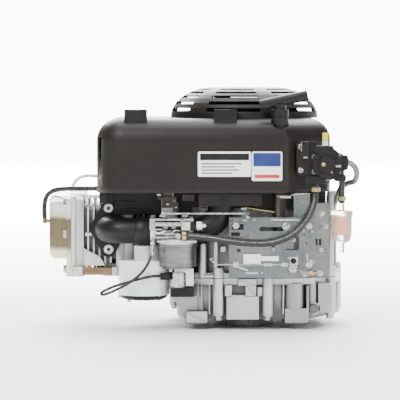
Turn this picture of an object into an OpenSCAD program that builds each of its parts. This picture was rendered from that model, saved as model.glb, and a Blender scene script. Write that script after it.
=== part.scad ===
// Small single-cylinder gasoline engine with a vertical crankshaft, electric start and overhead valves.
// Origin: crankshaft axis at the mounting face. +Z up, -X towards the cylinder head, -Y the carburettor side.

/* [Case] */
// Height of the joint between the sump and the crankcase
split_z = 69; // [67:1:70]
// Height of the crankcase top face
case_top_z = 172; // [172:1:174]
// Crankcase wall thickness
wall = 6; // [5:0.5:7]
// Diameter of the circle of the four mounting bolts (8 inches)
bolt_circle_d = 203.2; // [203.2:0.1:203.4]
// Radius of the four tapped mounting holes
mount_hole_r = 4; // [3.5:0.1:4.2]
// Radius of the round feet
foot_r = 17; // [15:0.5:18]
// Radius of the bolt columns around the case
column_r = 8; // [7:0.5:9]

/* [Cylinder] */
// Height of the cylinder axis above the mounting face
cyl_z = 129; // [129:1:129]
// Cylinder bore radius
bore_r = 45; // [45:0.1:45]
// Half of the piston stroke
crank_throw = 39; // [38.5:0.5:39]
// Connecting rod length between centres
rod_length = 114; // [114:0.5:115]
// Position of the cylinder deck along X
deck_x = -178; // [-179:0.5:-178]
// Spacing of the cooling fins on cylinder and head
fin_pitch = 8.4; // [8:0.1:9]

/* [Crankshaft] */
// Main journal radius
journal_r = 15; // [14.5:0.1:15]
// Power take-off shaft radius (1 inch shaft)
pto_r = 12.7; // [12.5:0.1:12.7]
// Length of the shaft below the mounting face
pto_length = 80; // [60:1:90]
// Radius of the crank webs
web_r = 54; // [50:1:54]

/* [Gears] */
// Gear module for all gears
gear_m = 2; // [2:1:2]
// Teeth on the crankshaft timing gear; the camshaft gear has twice as many
crank_teeth = 26; // [26:1:26]
// Teeth on the flywheel ring gear
ring_teeth = 120; // [120:1:120]
// Teeth on the starter pinion
pinion_teeth = 12; // [12:1:12]
// Teeth on each of the three starter transfer gears
transfer_teeth = 11; // [11:1:11]

/* [Valve train] */
// Valve lift
valve_lift = 6; // [5:0.5:6]
// Rocker arm length on each side of its shaft
rocker_arm = 38; // [38:1:38]
// Valve stem and rocker contact plane along X
stem_tip_x = -267.8; // [-268:0.1:-267.8]

/* [Blower housing] */
// Bottom edge of the housing
housing_z0 = 195; // [194:1:196]
// Top face of the housing
housing_z1 = 303; // [301:1:304]
// Radius of the housing's rounded top edge
housing_edge_r = 33; // [25:1:35]
// Housing wall thickness
housing_t = 2.5; // [2:0.1:2.5]
// Base radius of the domed grille
dome_r = 110; // [106:1:112]
// Height of the domed grille above the housing
dome_h = 45; // [40:1:48]

/* [Fuel system] */
// Height of the carburettor bore axis
carb_z = 139.5; // [139:0.5:140]
// Front-to-back position of the carburettor bore axis
carb_y = -115; // [-116:0.5:-115]
// Fuel line radius
line_r = 4.8; // [4:0.1:5]
// Fuel filter radius
filter_r = 15.5; // [14:0.5:16]

/* [Starter] */
// Starter motor radius
starter_r = 37.5; // [36:0.5:37.5]
// Travel of the starter pinion into the ring gear
pinion_throw = 12; // [11:0.5:12]

/* [Hidden] */
$fn = 48;

run_gap = 0.05;
gasket_t = 1;
full_turn = 360;

// Plan outlines, counter-clockwise, corners before rounding
sump_outline = [[-106, -76], [-76, -101], [-45, -108], [45, -108], [100, -98], [135, -62], [142, -20],
  [142, 85], [108, 140], [-65, 144], [-106, 115]];
case_outline = [[-105, -50], [-66, -90], [-45, -95.4], [45, -95.4], [98, -89], [130, -58], [138, -20],
  [138, 84], [106, 139], [-64, 143], [-105, 114]];
foot_outline = [[-86, -60], [-62, -92], [62, -92], [98, -80], [122, -30], [122, 66], [92, 116],
  [-52, 120], [-86, 92]];
case_corner_r = 12;
bolt_spots = [[-39, -106], [33, -106], [126, -72], [139, 28], [122, 113], [20, 142], [-70, 139],
  [-105, 90], [-92, -84]];
foot_offset = bolt_circle_d / 2 * cos(45);
case_floor_z = 8;
bore_end_x = -52;
pilot_r = 44;
pilot_z = -6;

// Head and valve train
head_x1 = deck_x - gasket_t;
chamber_depth = 10;
valve_y = 2;
pushrod_y = valve_y + 2 * rocker_arm;
rocker_y = valve_y + rocker_arm;
rocker_x = -274;
intake_z = 152;
exhaust_z = 106;
port_x = -201;
seat_x = head_x1 - chamber_depth;
stem_r = 3.5;
rocker_deck_x = -244;
cover_x = -257;
head_outline = [[-52, 67], [96, 67], [96, 190], [-52, 190]];
head_bolt_yz = [[-44, 83], [44, 83], [-44, 176], [44, 176]];

// Camshaft
cam_y = crank_teeth * gear_m * 1.5;
cam_r = 8;
lobe_r = 15;
lobe_rise = valve_lift + 0.5;
timing_z = 78;
timing_h = 12;

// Piston
pin_x = -(crank_throw + rod_length);
crown_x = pin_x - 24;
skirt_x = crown_x + 43;
pin_r = 9;
rod_half = 12;

// Flywheel and starter drive
ring_z = 200;
ring_h = 12;
rim_r = 105;
coil_angle = 135;
drive_r = (ring_teeth + pinion_teeth) * gear_m / 2;
drive_angle = 212;
drive_xy = drive_r * [cos(drive_angle), sin(drive_angle)];
transfer_pitch = transfer_teeth * gear_m;
transfer_angle = 214.8;
transfer_dir = [cos(transfer_angle), sin(transfer_angle)];
idler_xy = drive_xy + transfer_pitch * transfer_dir;
motor_xy = drive_xy + 2 * transfer_pitch * transfer_dir;
starter_z0 = 37;
starter_z1 = 96;
nose_top_z = 117;
transfer_z = 102;
transfer_h = 9;

// Blower housing plan
housing_plan = [[-217, -140], [61, -140], [126, -75], [126, 85], [70, 140], [-217, 140]];
housing_corner = [42, 10, 30, 30, 30, 42];
inlet_r = 104;
dome_flat_r = 47;
dome_t = 3;
dome_rows = [16, 30, 44, 57, 70];
dome_ribs = 6;
dome_rib_phase = -130;

// Filler tube
filler_x = 50;
filler_y = -122;
filler_top_z = 306;

// Governor shaft
governor_x = 0;
governor_z = 84;

// Carburettor
bowl_x = -99;
throttle_x = -120;
choke_x = -88;
plate_y0 = -136;

// Fuel filter
filter_xy = [140, -125];

// ---- Outline functions ----

function unit(v) = v / norm(v);
function rect(x0, y0, x1, y1) = [[x0, y0], [x1, y0], [x1, y1], [x0, y1]];
function prev(pts, i) = pts[(i + len(pts) - 1) % len(pts)];
function next(pts, i) = pts[(i + 1) % len(pts)];
function radius_at(r, i) = is_list(r) ? r[i] : r;

// Arc that rounds the corner b between its neighbours a and c
function corner_arc(a, b, c, r, n) =
  let (u = unit(a - b), w = unit(c - b), half = acos(u * w) / 2)
  let (centre = b + unit(u + w) * r / sin(half), start = b + u * r / tan(half) - centre,
       finish = b + w * r / tan(half) - centre)
  let (a0 = atan2(start.y, start.x), a1 = atan2(finish.y, finish.x),
       turn = (a1 - a0 + 1.5 * full_turn) % full_turn - full_turn / 2)
  [for (k = [0:n]) centre + r * [cos(a0 + turn * k / n), sin(a0 + turn * k / n)]];

function round_poly(pts, r, n = 6) =
  [for (i = [0:len(pts) - 1]) each corner_arc(prev(pts, i), pts[i], next(pts, i), radius_at(r, i), n)];

// Convex outline moved inwards by d
function inset_poly(pts, d) = [for (i = [0:len(pts) - 1])
  let (u = unit(prev(pts, i) - pts[i]), w = unit(next(pts, i) - pts[i]), half = acos(u * w) / 2)
  pts[i] + unit(u + w) * d / sin(half)];

// Involute gear outline with a tooth centred on the angle 'phase'
function involute(a) = tan(a) - a * PI / 180;
function tooth_half(r, n, slack) =
  let (base = n * gear_m / 2 * cos(20))
  90 / n - slack + (involute(20) - involute(acos(min(1, base / r)))) * 180 / PI;
function gear_points(n, phase, slack, add = 0.85) =
  let (pitch = n * gear_m / 2, root = pitch - 1.2 * gear_m, tip = pitch + add * gear_m)
  let (radii = [root, pitch - 0.35 * gear_m, pitch + 0.3 * gear_m, tip])
  [for (k = [0:n - 1]) each concat(
    [for (r = radii) r * [cos(phase + k * full_turn / n - tooth_half(r, n, slack)),
                          sin(phase + k * full_turn / n - tooth_half(r, n, slack))]],
    [for (j = [3:-1:0]) let (r = radii[j]) r * [cos(phase + k * full_turn / n + tooth_half(r, n, slack)),
                          sin(phase + k * full_turn / n + tooth_half(r, n, slack))]])];

// Cam lobe outline whose nose points to 'angle'
function lobe_points(angle) = [for (a = [0:8:352])
  (lobe_r + lobe_rise * pow(max(0, cos(a)), 3)) * [cos(a + angle), sin(a + angle)]];

// ---- Swept tubes for hoses and leads ----

function spline_point(p, i, t) =
  let (a = p[max(i - 1, 0)], b = p[i], c = p[i + 1], d = p[min(i + 2, len(p) - 1)])
  0.5 * ((2 * b) + (c - a) * t + (2 * a - 5 * b + 4 * c - d) * t * t + (3 * b - a - 3 * c + d) * t * t * t);
function spline(p, steps) = concat(
  [for (i = [0:len(p) - 2], k = [0:steps - 1]) spline_point(p, i, k / steps)], [p[len(p) - 1]]);
function direction(path, i) = unit(path[min(i + 1, len(path) - 1)] - path[max(i - 1, 0)]);

module hose(points, r, steps = 4, sides = 10, side_axis = [0, 1, 0]) {
  path = spline(points, steps);
  rings = len(path);
  verts = [for (i = [0:rings - 1])
    let (t = direction(path, i), n = unit(cross(t, side_axis)), b = cross(n, t))
    each [for (k = [0:sides - 1]) let (a = k * full_turn / sides) path[i] + r * (cos(a) * n + sin(a) * b)]];
  walls = [for (i = [0:rings - 2], k = [0:sides - 1])
    [i * sides + k, i * sides + (k + 1) % sides, (i + 1) * sides + (k + 1) % sides, (i + 1) * sides + k]];
  ends = [[for (k = [sides - 1:-1:0]) k], [for (k = [0:sides - 1]) (rings - 1) * sides + k]];
  polyhedron(verts, concat(walls, ends));
}

// ---- Simple solids along an axis ----

module rod_x(x0, x1, y, z, r) {
  translate([x0, y, z]) rotate([0, 90, 0]) cylinder(h = x1 - x0, r = r);
}
module rod_y(y0, y1, x, z, r) {
  translate([x, y1, z]) rotate([90, 0, 0]) cylinder(h = y1 - y0, r = r);
}
module rod_z(z0, z1, xy, r) {
  translate([xy.x, xy.y, z0]) cylinder(h = z1 - z0, r = r);
}
module plate_x(x0, x1, pts) {
  translate([x0, 0, 0]) rotate([90, 0, 90]) linear_extrude(x1 - x0) polygon(pts);
}
module plate_y(y0, y1, pts) {
  translate([0, y1, 0]) rotate([90, 0, 0]) linear_extrude(y1 - y0) polygon(pts);
}
module plate_z(z0, z1, pts) {
  translate([0, 0, z0]) linear_extrude(z1 - z0) polygon(pts);
}
module block(low, high) {
  translate(low) cube(high - low);
}
module tube_z(z0, z1, xy, r_out, r_in) {
  difference() {
    rod_z(z0, z1, xy, r_out);
    rod_z(z0 - 1, z1 + 1, xy, r_in);
  }
}
module hex_z(z0, z1, xy, across) {
  translate([xy.x, xy.y, z0]) cylinder(h = z1 - z0, r = across / sqrt(3), $fn = 6);
}
module hex_x(x0, x1, y, z, across) {
  translate([x0, y, z]) rotate([0, 90, 0]) cylinder(h = x1 - x0, r = across / sqrt(3), $fn = 6);
}
module hex_y(y0, y1, x, z, across) {
  translate([x, y1, z]) rotate([90, 0, 0]) cylinder(h = y1 - y0, r = across / sqrt(3), $fn = 6);
}

// ---- Castings ----

module feet(z1) {
  for (sx = [-1, 1], sy = [-1, 1])
    rod_z(0, z1, foot_offset * [sx, sy], foot_r);
}

module sump() color("silver") difference() {
  union() {
    difference() {
      union() {
        plate_z(split_z - 9, split_z, round_poly(sump_outline, case_corner_r));
        plate_z(42, split_z - 9, round_poly(inset_poly(sump_outline, 7), case_corner_r));
        hull() {
          plate_z(40, 42, round_poly(inset_poly(sump_outline, 7), case_corner_r));
          plate_z(case_floor_z, case_floor_z + 2, round_poly(foot_outline, case_corner_r));
        }
        for (p = bolt_spots)
          rod_z(15, split_z, p, column_r);
        block([-27, -110, 9], [20, -90, 43]);
        for (x = [66, 78, 90])
          block([x, -103, 12], [x + 3, -86, 58]);
      }
      plate_z(44, split_z + 1, round_poly(inset_poly(sump_outline, 14), 8));
      hull() {
        plate_z(43, 45, round_poly(inset_poly(sump_outline, 14), 8));
        plate_z(case_floor_z + 7, case_floor_z + 8, round_poly(inset_poly(foot_outline, 8), 8));
      }
    }
    feet(30);
    rod_z(pilot_z, case_floor_z + 8, [0, 0], pilot_r);
    rod_z(case_floor_z, 62, [0, 0], 27);
    rod_z(case_floor_z, 42, [0, cam_y], 14);
    rod_y(-96, -78, 100, 24, 10);
  }
  rod_z(2, 63, [0, 0], 20);
  rod_z(pilot_z - 1, 3, [0, 0], 24);
  rod_z(18, 43, [0, cam_y], cam_r + run_gap);
  for (sx = [-1, 1], sy = [-1, 1])
    rod_z(-1, 22, foot_offset * [sx, sy], mount_hole_r);
  for (p = bolt_spots)
    rod_z(14, split_z + 1, p, 3);
  rod_y(-97, -76, 100, 24, 7);
}

module drain_plug() color("dimgray") {
  rod_y(-96, -78, 100, 24, 7);
  hex_y(-102, -96, 100, 24, 11);
}

module crankcase() color("silver") difference() {
  union() {
    difference() {
      union() {
        plate_z(split_z + gasket_t, split_z + 8, round_poly(sump_outline, case_corner_r));
        plate_z(split_z + gasket_t, case_top_z, round_poly(case_outline, case_corner_r));
        for (p = bolt_spots)
          rod_z(split_z + gasket_t, split_z + 15.5, p, column_r);
        rod_z(split_z + gasket_t, 120, [-62, -100], 7);
        rod_z(split_z + gasket_t, housing_z0, [129, -48], 7);
        rod_x(deck_x, -95, 0, cyl_z, 51);
        for (k = [0:6])
          plate_x(-168 + k * fin_pitch, -165 + k * fin_pitch, round_poly(rect(-53, 75, 62, 184), 14));
        plate_x(deck_x, deck_x + 10, round_poly(head_outline, 10));
        plate_x(deck_x, -100, rect(50, 92, 92, 166));
      }
      plate_z(split_z, case_top_z - 8, round_poly(inset_poly(case_outline, wall), 8));
    }
    difference() {
      rod_x(-106, -86, 0, cyl_z, 51);
      rod_z(50, 200, [0, 0], 62);
    }
    intersection() {
      rod_x(-106, bore_end_x + 6, 0, cyl_z, 51);
      block([-106, -52, case_top_z - 6], [bore_end_x + 6, 52, 181]);
    }
    block([-60, 67, 93], [-40, 138, case_top_z - 4]);
    rod_z(case_top_z - 11, 186, [0, 0], 32);
    rod_z(161, 178, [0, cam_y], 15);
    for (x = [-14, 92], z = [92, 148])
      rod_y(-112, -86, x, z, 6.5);
    rod_y(-111.8, -90, filler_x, 100, 14);
    rotate([0, 0, coil_angle]) rod_z(case_top_z - 2, 216, [143, 0], 7);
    rod_y(-116, -90, governor_x, governor_z, 8);
  }
  rod_x(deck_x - 1, bore_end_x, 0, cyl_z, bore_r);
  rod_z(case_top_z - 12, 187, [0, 0], 20);
  rod_z(150, 172, [0, cam_y], cam_r + run_gap);
  for (z = [intake_z, exhaust_z]) {
    rod_x(deck_x - 1, -59, pushrod_y, z, 7);
    rod_x(-61, -39, pushrod_y, z, 9 + run_gap);
  }
  for (p = bolt_spots)
    rod_z(split_z, split_z + 16, p, 3);
  for (yz = head_bolt_yz)
    rod_x(deck_x - 1, deck_x + 22, yz[0], yz[1], 4);
  rod_y(-113, -85, filler_x, 100, 8);
  rod_y(-117, -96, governor_x, governor_z, 4 + run_gap);
}

module gaskets() color("dimgray") {
  difference() {
    union() {
      plate_z(split_z, split_z + gasket_t, round_poly(sump_outline, case_corner_r));
      for (p = bolt_spots)
        rod_z(split_z, split_z + gasket_t, p, column_r);
    }
    plate_z(split_z - 1, split_z + 2, round_poly(inset_poly(sump_outline, 14), 8));
    for (p = bolt_spots)
      rod_z(split_z - 1, split_z + 2, p, 3);
  }
  difference() {
    plate_x(head_x1, deck_x, round_poly(head_outline, 10));
    rod_x(head_x1 - 1, deck_x + 1, 0, cyl_z, bore_r + 1);
    for (z = [intake_z, exhaust_z])
      rod_x(head_x1 - 1, deck_x + 1, pushrod_y, z, 8);
    for (yz = head_bolt_yz)
      rod_x(head_x1 - 1, deck_x + 1, yz[0], yz[1], 4);
  }
}

module case_bolts() color("gainsboro") for (p = bolt_spots) {
  rod_z(14, split_z + 15, p, 3);
  rod_z(13, 15, p, 6.5);
  hex_z(8, 13, p, 10);
}

module bearings_and_seals() color("goldenrod") {
  tube_z(2, 62, [0, 0], 20, journal_r + run_gap);
  tube_z(case_top_z - 11, 186, [0, 0], 20, journal_r + run_gap);
  tube_z(pilot_z, 2, [0, 0], 24, journal_r + run_gap);
}

// ---- Crank train ----

module crankshaft() color("lightsteelblue") {
  difference() {
    union() {
      rod_z(100.7, 116.7, [0, 0], web_r);
      rod_z(pilot_z, 101, [0, 0], journal_r);
      rod_z(-pto_length, pilot_z + 1, [0, 0], pto_r);
      plate_z(timing_z, timing_z + timing_h, gear_points(crank_teeth, 90 + 180 / crank_teeth, 0.35));
    }
    rod_z(-pto_length - 1, -pto_length + 28, [0, 0], 4.9);
    block([-3.175, 9.5, -pto_length - 1], [3.175, 14, -24]);
    block([10, -60, 100], [60, -34, 118]);
    block([10, 34, 100], [60, 60, 118]);
  }
  difference() {
    union() {
      rod_z(141.3, 157.3, [0, 0], web_r);
      rod_z(157, 196, [0, 0], journal_r);
      rod_z(195, 246, [0, 0], 12.7);
      rod_z(245, 264, [0, 0], 9);
    }
    block([10, -60, 141], [60, -34, 158]);
    block([10, 34, 141], [60, 60, 158]);
  }
}

module connecting_rod() color("silver") {
  difference() {
    union() {
      rod_z(cyl_z - rod_half, cyl_z + rod_half, [pin_x, 0], 15);
      rod_z(cyl_z - rod_half, cyl_z + rod_half, [-crank_throw, 0], 24);
      block([pin_x, -11, cyl_z - 9], [-crank_throw, 11, cyl_z + 9]);
    }
    rod_z(cyl_z - 13, cyl_z + 13, [pin_x, 0], pin_r + run_gap);
    rod_z(cyl_z - 13, cyl_z + 13, [-crank_throw, 0], 15);
    for (s = [-1, 1])
      block([-128, -7, cyl_z + s * 9 - 4], [-70, 7, cyl_z + s * 9 + 4]);
  }
  rod_z(cyl_z - rod_half, cyl_z + rod_half, [-crank_throw, 0], 15);
}

module piston() color("silver") difference() {
  union() {
    difference() {
      rod_x(crown_x, skirt_x, 0, cyl_z, bore_r - run_gap);
      rod_x(crown_x + 9, skirt_x + 1, 0, cyl_z, 38);
    }
    intersection() {
      rod_x(crown_x + 8, pin_x + 13, 0, cyl_z, 40);
      union() {
        block([crown_x + 8, -15, cyl_z + 12.5], [pin_x + 13, 15, cyl_z + 45]);
        block([crown_x + 8, -15, cyl_z - 45], [pin_x + 13, 15, cyl_z - 12.5]);
      }
    }
  }
  rod_z(cyl_z - 50, cyl_z + 50, [pin_x, 0], pin_r);
  for (k = [0:2])
    difference() {
      rod_x(crown_x + 4 + k * 5, crown_x + 6 + k * 5, 0, cyl_z, bore_r + 1);
      rod_x(crown_x + 3 + k * 5, crown_x + 7 + k * 5, 0, cyl_z, bore_r - 3);
    }
}

module wrist_pin() color("lightsteelblue") tube_z(cyl_z - 38, cyl_z + 38, [pin_x, 0], pin_r, 5);

module camshaft() color("slategray") {
  rod_z(19, 171, [0, cam_y], cam_r);
  plate_z(timing_z, timing_z + timing_h,
    [for (p = gear_points(2 * crank_teeth, 270, 0.2)) p + [0, cam_y]]);
  plate_z(exhaust_z - 7, exhaust_z + 7, [for (p = lobe_points(-52)) p + [0, cam_y]]);
  plate_z(intake_z - 7, intake_z + 7, [for (p = lobe_points(52)) p + [0, cam_y]]);
}

// ---- Head and valve train ----

module cylinder_head() color("gainsboro") difference() {
  union() {
    plate_x(head_x1 - 11, head_x1, round_poly(head_outline, 10));
    plate_x(-241, head_x1 - 10, round_poly(rect(-34, 84, 58, 174), 10));
    for (k = [0:4])
      plate_x(-233 + k * fin_pitch, -230.4 + k * fin_pitch, round_poly(rect(-52, 74, 62, 186), 14));
    plate_x(rocker_deck_x, -238, round_poly(head_outline, 10));
    difference() {
      plate_x(cover_x, rocker_deck_x + 1, round_poly(head_outline, 10));
      plate_x(cover_x - 1, rocker_deck_x, round_poly(rect(-16, 88, 90, 174), 10));
    }
    for (z = [intake_z, exhaust_z])
      rod_x(-240, head_x1, pushrod_y, z, 11);
    rod_y(-54, -30, port_x, carb_z, 21.5);
    for (s = [-1, 1])
      rod_y(-54, -30, port_x, carb_z + s * 30.5, 8.5);
    rod_z(67, 100, [port_x, valve_y], 20);
    for (s = [-1, 1])
      rod_z(67, 90, [port_x, valve_y + s * 26], 9);
    block([-283, rocker_y - 7, 121], [rocker_deck_x + 1, rocker_y + 7, 137]);
  }
  rod_x(seat_x, head_x1 + 1, 0, cyl_z, 42);
  rod_x(port_x - 12, seat_x + 1, valve_y, intake_z, 14);
  rod_x(port_x - 12, seat_x + 1, valve_y, exhaust_z, 12.5);
  rod_y(-55, valve_y, port_x, carb_z, 15);
  rod_z(66, exhaust_z, [port_x, valve_y], 11.5);
  for (z = [intake_z, exhaust_z]) {
    rod_x(cover_x, port_x, valve_y, z, stem_r + run_gap);
    rod_x(cover_x, head_x1 + 1, pushrod_y, z, 7);
  }
  rod_z(110, 150, [rocker_x, rocker_y], 5);
  for (s = [-1, 1]) {
    rod_z(66, 84, [port_x, valve_y + s * 26], 4);
    rod_y(-55, -34, port_x, carb_z + s * 30.5, 3);
  }
  for (yz = head_bolt_yz) {
    rod_x(head_x1 - 12, head_x1 + 1, yz[0], yz[1], 4);
    rod_x(-237, head_x1 - 11, yz[0], yz[1], 9.5);
  }
  for (p = cover_screw_yz)
    rod_x(cover_x - 1, cover_x + 10, p[0], p[1], 3);
  translate([seat_x + 2, 12, cyl_z]) rotate([0, 0, plug_angle]) {
    rod_x(-2, 40, 0, 0, 7);
    rod_x(16, 120, 0, 0, 13);
  }
}
plug_angle = 130;
cover_screw_yz = [[-42, 78], [86, 78], [-42, 130], [-42, 180], [22, 75]];

module head_bolts() color("gray") for (yz = head_bolt_yz) {
  rod_x(head_x1 - 11, deck_x + 20, yz[0], yz[1], 4);
  hex_x(head_x1 - 19, head_x1 - 11, yz[0], yz[1], 13);
}

module valve_cover() color("khaki") difference() {
  union() {
    plate_x(cover_x - 7, cover_x, round_poly(head_outline, 10));
    plate_x(-285, cover_x - 6, round_poly(rect(-22, 91, 94, 188), 14));
    plate_x(-288.5, -284, round_poly(rect(-20, 93, 92, 186), 13));
    plate_x(-291, -288, round_poly(rect(-17, 96, 89, 183), 11));
    rod_x(-299.5, -290, -6, 148, 2.6);
    rod_z(144.5, 152, [-298.6, -6], 3.2);
  }
  plate_x(-288, cover_x + 1, round_poly(rect(-19, 94, 91, 185), 11));
  for (p = cover_screw_yz)
    rod_x(cover_x - 8, cover_x + 1, p[0], p[1], 3);
}

module spark_plug() color("white") translate([seat_x + 2, 12, cyl_z]) rotate([0, 0, plug_angle]) {
  rod_x(0, 16, 0, 0, 7);
  rod_x(16, 19, 0, 0, 10);
  translate([19, 0, 0]) rotate([0, 90, 0]) cylinder(h = 12, r = 11.8, $fn = 6);
  rod_x(31, 62, 0, 0, 5.5);
  rod_x(62, 68, 0, 0, 3);
}

module rocker_shaft() color("gray") rod_z(98, 160, [rocker_x, rocker_y], 5);

module valve_springs() color("lightsteelblue") for (z = [intake_z, exhaust_z])
  difference() {
    rod_x(-255.5, rocker_deck_x, valve_y, z, 9);
    rod_x(-256, rocker_deck_x + 1, valve_y, z, 6.5);
  }

module valve(z, head_r) {
  rod_x(seat_x, seat_x + 3, valve_y, z, head_r);
  rod_x(stem_tip_x, seat_x + 1, valve_y, z, stem_r);
  rod_x(-265, -262, valve_y, z, 10);
}
module intake_valve() color("lightsteelblue") valve(intake_z, 17);
module exhaust_valve() color("lightsteelblue") valve(exhaust_z, 15);

module rocker(z) difference() {
  union() {
    block([rocker_x - 3, valve_y, z - 6], [rocker_x + 3, pushrod_y, z + 6]);
    rod_z(z - 6, z + 6, [rocker_x, rocker_y], 9);
    rod_z(z - 6, z + 6, [rocker_x + 2, valve_y], 4);
    rod_z(z - 6, z + 6, [rocker_x + 2, pushrod_y], 4);
  }
  rod_z(z - 7, z + 7, [rocker_x, rocker_y], 5 + run_gap);
}
module intake_rocker() color("gray") rocker(intake_z);
module exhaust_rocker() color("gray") rocker(exhaust_z);

module pushrod(z) {
  rod_x(stem_tip_x, -49, pushrod_y, z, 3);
  rod_x(-50, -22.5, pushrod_y, z, 9);
}
module intake_pushrod() color("gray") pushrod(intake_z);
module exhaust_pushrod() color("gray") pushrod(exhaust_z);

// ---- Intake and fuel ----

manifold_bend = 25;
bend_y = carb_y + manifold_bend;
carb_x0 = -138;

module intake_manifold() color("dimgray") difference() {
  union() {
    hull() {
      rod_y(-60, -54, port_x, carb_z, 21);
      rod_y(-60, -54, port_x, carb_z + 30.5, 9);
      rod_y(-60, -54, port_x, carb_z - 30.5, 9);
    }
    rod_y(bend_y, -59, port_x, carb_z, 21);
    translate([port_x + manifold_bend, bend_y, carb_z]) rotate([0, 0, 180])
      rotate_extrude(angle = 90) translate([manifold_bend, 0]) circle(r = 21);
    rod_x(port_x + manifold_bend, carb_x0 - 6, carb_y, carb_z, 21);
    rod_x(carb_x0 - 7, carb_x0, carb_y, carb_z, 23);
    block([carb_x0 - 17, carb_y - 8, carb_z - 22], [carb_x0, carb_y + 8, carb_z - 19]);
  }
  rod_y(bend_y, -53, port_x, carb_z, 15);
  translate([port_x + manifold_bend, bend_y, carb_z]) rotate([0, 0, 180])
    rotate_extrude(angle = 90) translate([manifold_bend, 0]) circle(r = 15);
  rod_x(port_x + manifold_bend, carb_x0 + 1, carb_y, carb_z, 15);
  for (s = [-1, 1])
    rod_y(-61, -53, port_x, carb_z + s * 30.5, 3);
}

module carburetor_body() color("darkgray") difference() {
  union() {
    rod_x(carb_x0, carb_x0 + 62, carb_y, carb_z, duct_r);
    rod_x(carb_x0, carb_x0 + 7, carb_y, carb_z, 23);
    rod_x(carb_x0 + 55, carb_x0 + 62, carb_y, carb_z, 21);
    rod_z(121, 128, [bowl_x, carb_y], 29.5);
    block([bowl_x - 20, carb_y - 18.8, 127], [bowl_x + 18, carb_y + 18, 150]);
    rod_z(150, 160, [throttle_x, carb_y], 6);
    rod_z(150, 160, [choke_x, carb_y], 6);
    rod_y(-146, -130, bowl_x + 1, 133, 4);
  }
  rod_x(carb_x0 - 1, carb_x0 + 63, carb_y, carb_z, 17);
  rod_x(duct_x, duct_x + 8, carb_y, carb_z, duct_r + 0.2);
  rod_x(-93, -85, -142.2, 133, 7.2);
  for (x = [throttle_x, choke_x])
    rod_z(118, 161, [x, carb_y], 2.5 + run_gap);
}

module carburetor_bowl() color("lightgray") {
  difference() {
    union() {
      rod_z(88, 118, [bowl_x, carb_y], 27.5);
      rod_z(117, 121, [bowl_x, carb_y], 29.5);
      rod_z(85, 89, [bowl_x, carb_y], 22);
    }
    rod_z(91, 122, [bowl_x, carb_y], 25.5);
  }
  rod_z(90, 121, [bowl_x, carb_y], 6);
}

module fuel_solenoid() color("lightgray") {
  hex_z(79, 85, [bowl_x, carb_y], 13);
  rod_z(55, 79, [bowl_x, carb_y], 12.5);
  rod_z(50, 55, [bowl_x, carb_y], 9);
}

module butterfly(x) {
  rod_z(119, 163, [x, carb_y], 2.5);
  intersection() {
    rod_x(x - 0.8, x + 0.8, carb_y, carb_z, 16.6);
    block([x - 2, carb_y - 20, carb_z - 20], [x + 2, carb_y + 20, carb_z + 20]);
  }
}
module throttle_shaft() color("gainsboro") {
  butterfly(throttle_x);
  plate_z(161, 163, round_poly(rect(throttle_x - 5, -140, throttle_x + 5, carb_y + 5), 3));
}
module choke_shaft() color("gainsboro") {
  butterfly(choke_x);
  plate_z(161, 163, round_poly(rect(choke_x - 5, carb_y - 18, choke_x + 5, carb_y + 5), 3));
}

duct_bend = 42;
duct_r = 18.4;
duct_x = carb_x0 + 62;
module intake_duct() color("dimgray") difference() {
  union() {
    translate([duct_x, 0, carb_z + duct_bend]) rotate([90, 0, 0]) translate([0, 0, -carb_y])
      rotate([0, 0, -90]) rotate_extrude(angle = 90) translate([duct_bend, 0]) circle(r = duct_r);
    rod_z(carb_z + duct_bend, 197, [duct_x + duct_bend, carb_y], duct_r);
    block([duct_x + 8, carb_y - 18, 176], [24, carb_y + 22, 194]);
  }
  translate([duct_x, 0, carb_z + duct_bend]) rotate([90, 0, 0]) translate([0, 0, -carb_y])
    rotate([0, 0, -90]) rotate_extrude(angle = 90) translate([duct_bend, 0]) circle(r = 16);
  rod_z(carb_z + duct_bend, 198, [duct_x + duct_bend, carb_y], 16);
}

pump_x = 118;
pump_z = 237;
module fuel_pump() color("dimgray") {
  rod_y(-132, -118, pump_x, pump_z, 24);
  rod_y(-141, -131, pump_x, pump_z, 21);
  rod_y(-145, -140, pump_x, pump_z, 12);
  for (a = [30:60:270])
    rod_y(-135, -119, pump_x + 22 * cos(a), pump_z + 22 * sin(a), 5);
  plate_y(-132, -128, round_poly(rect(74, 220, 104, 270), 6));
  block([75, -129, 226], [78, -126.2, 264]);
  rod_x(pump_x + 15, 143, -128, 240, 3.6);
  rod_x(pump_x + 15, 140, -127, 229, 3);
  rod_z(filter_hose_z, 231, [140, -127], 3.4);
  rod_z(206, 222, [101, -130], 3.6);
}

fuel_route = [[-93.6, -142.2, 133], [-81, -142.2, 133.2], [-51, -146, 130.5], [-23, -147, 126],
  [4, -147, 123], [31, -147, 123], [55, -147, 129], [73, -147, 140], [88, -146, 157], [96, -143.5, 173],
  [100, -138, 186], [101, -132.5, 196], [101, -130.3, 202], [101, -130, 206]];
filter_hose_z = 216;
filter_route = [[140, -127, 215.9], [140, -126.6, 206], [140, -125.4, 194], [140, -125, 186],
  [140, -125, 180.1]];
pulse_route = [[143, -128, 240], [151, -128, 239], [159, -126, 232], [162, -122, 222], [159, -115, 212],
  [150, -100, 208], [141, -80, 200], [136, -70, 186], [131, -60, 172]];
breather_route = [[-217.4, -60, 199], [-226, -59.5, 198.6], [-240, -46, 198], [-262, -26, 197],
  [-282, -14, 194.5], [-294, -8, 187], [-298.4, -6, 176], [-299, -6, 164], [-298.6, -6, 152.1]];
plug_route = [[-231.2, 64.6, 129], [-241.5, 78.8, 129.5], [-251.5, 95.5, 131.5], [-261.5, 105.5, 138.5],
  [-267, 107, 150], [-268, 105, 172], [-262, 100, 195], [-252, 90, 208], [-238, 70, 213], [-226, 60.5, 213],
  [-217.4, 60, 213]];
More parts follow.
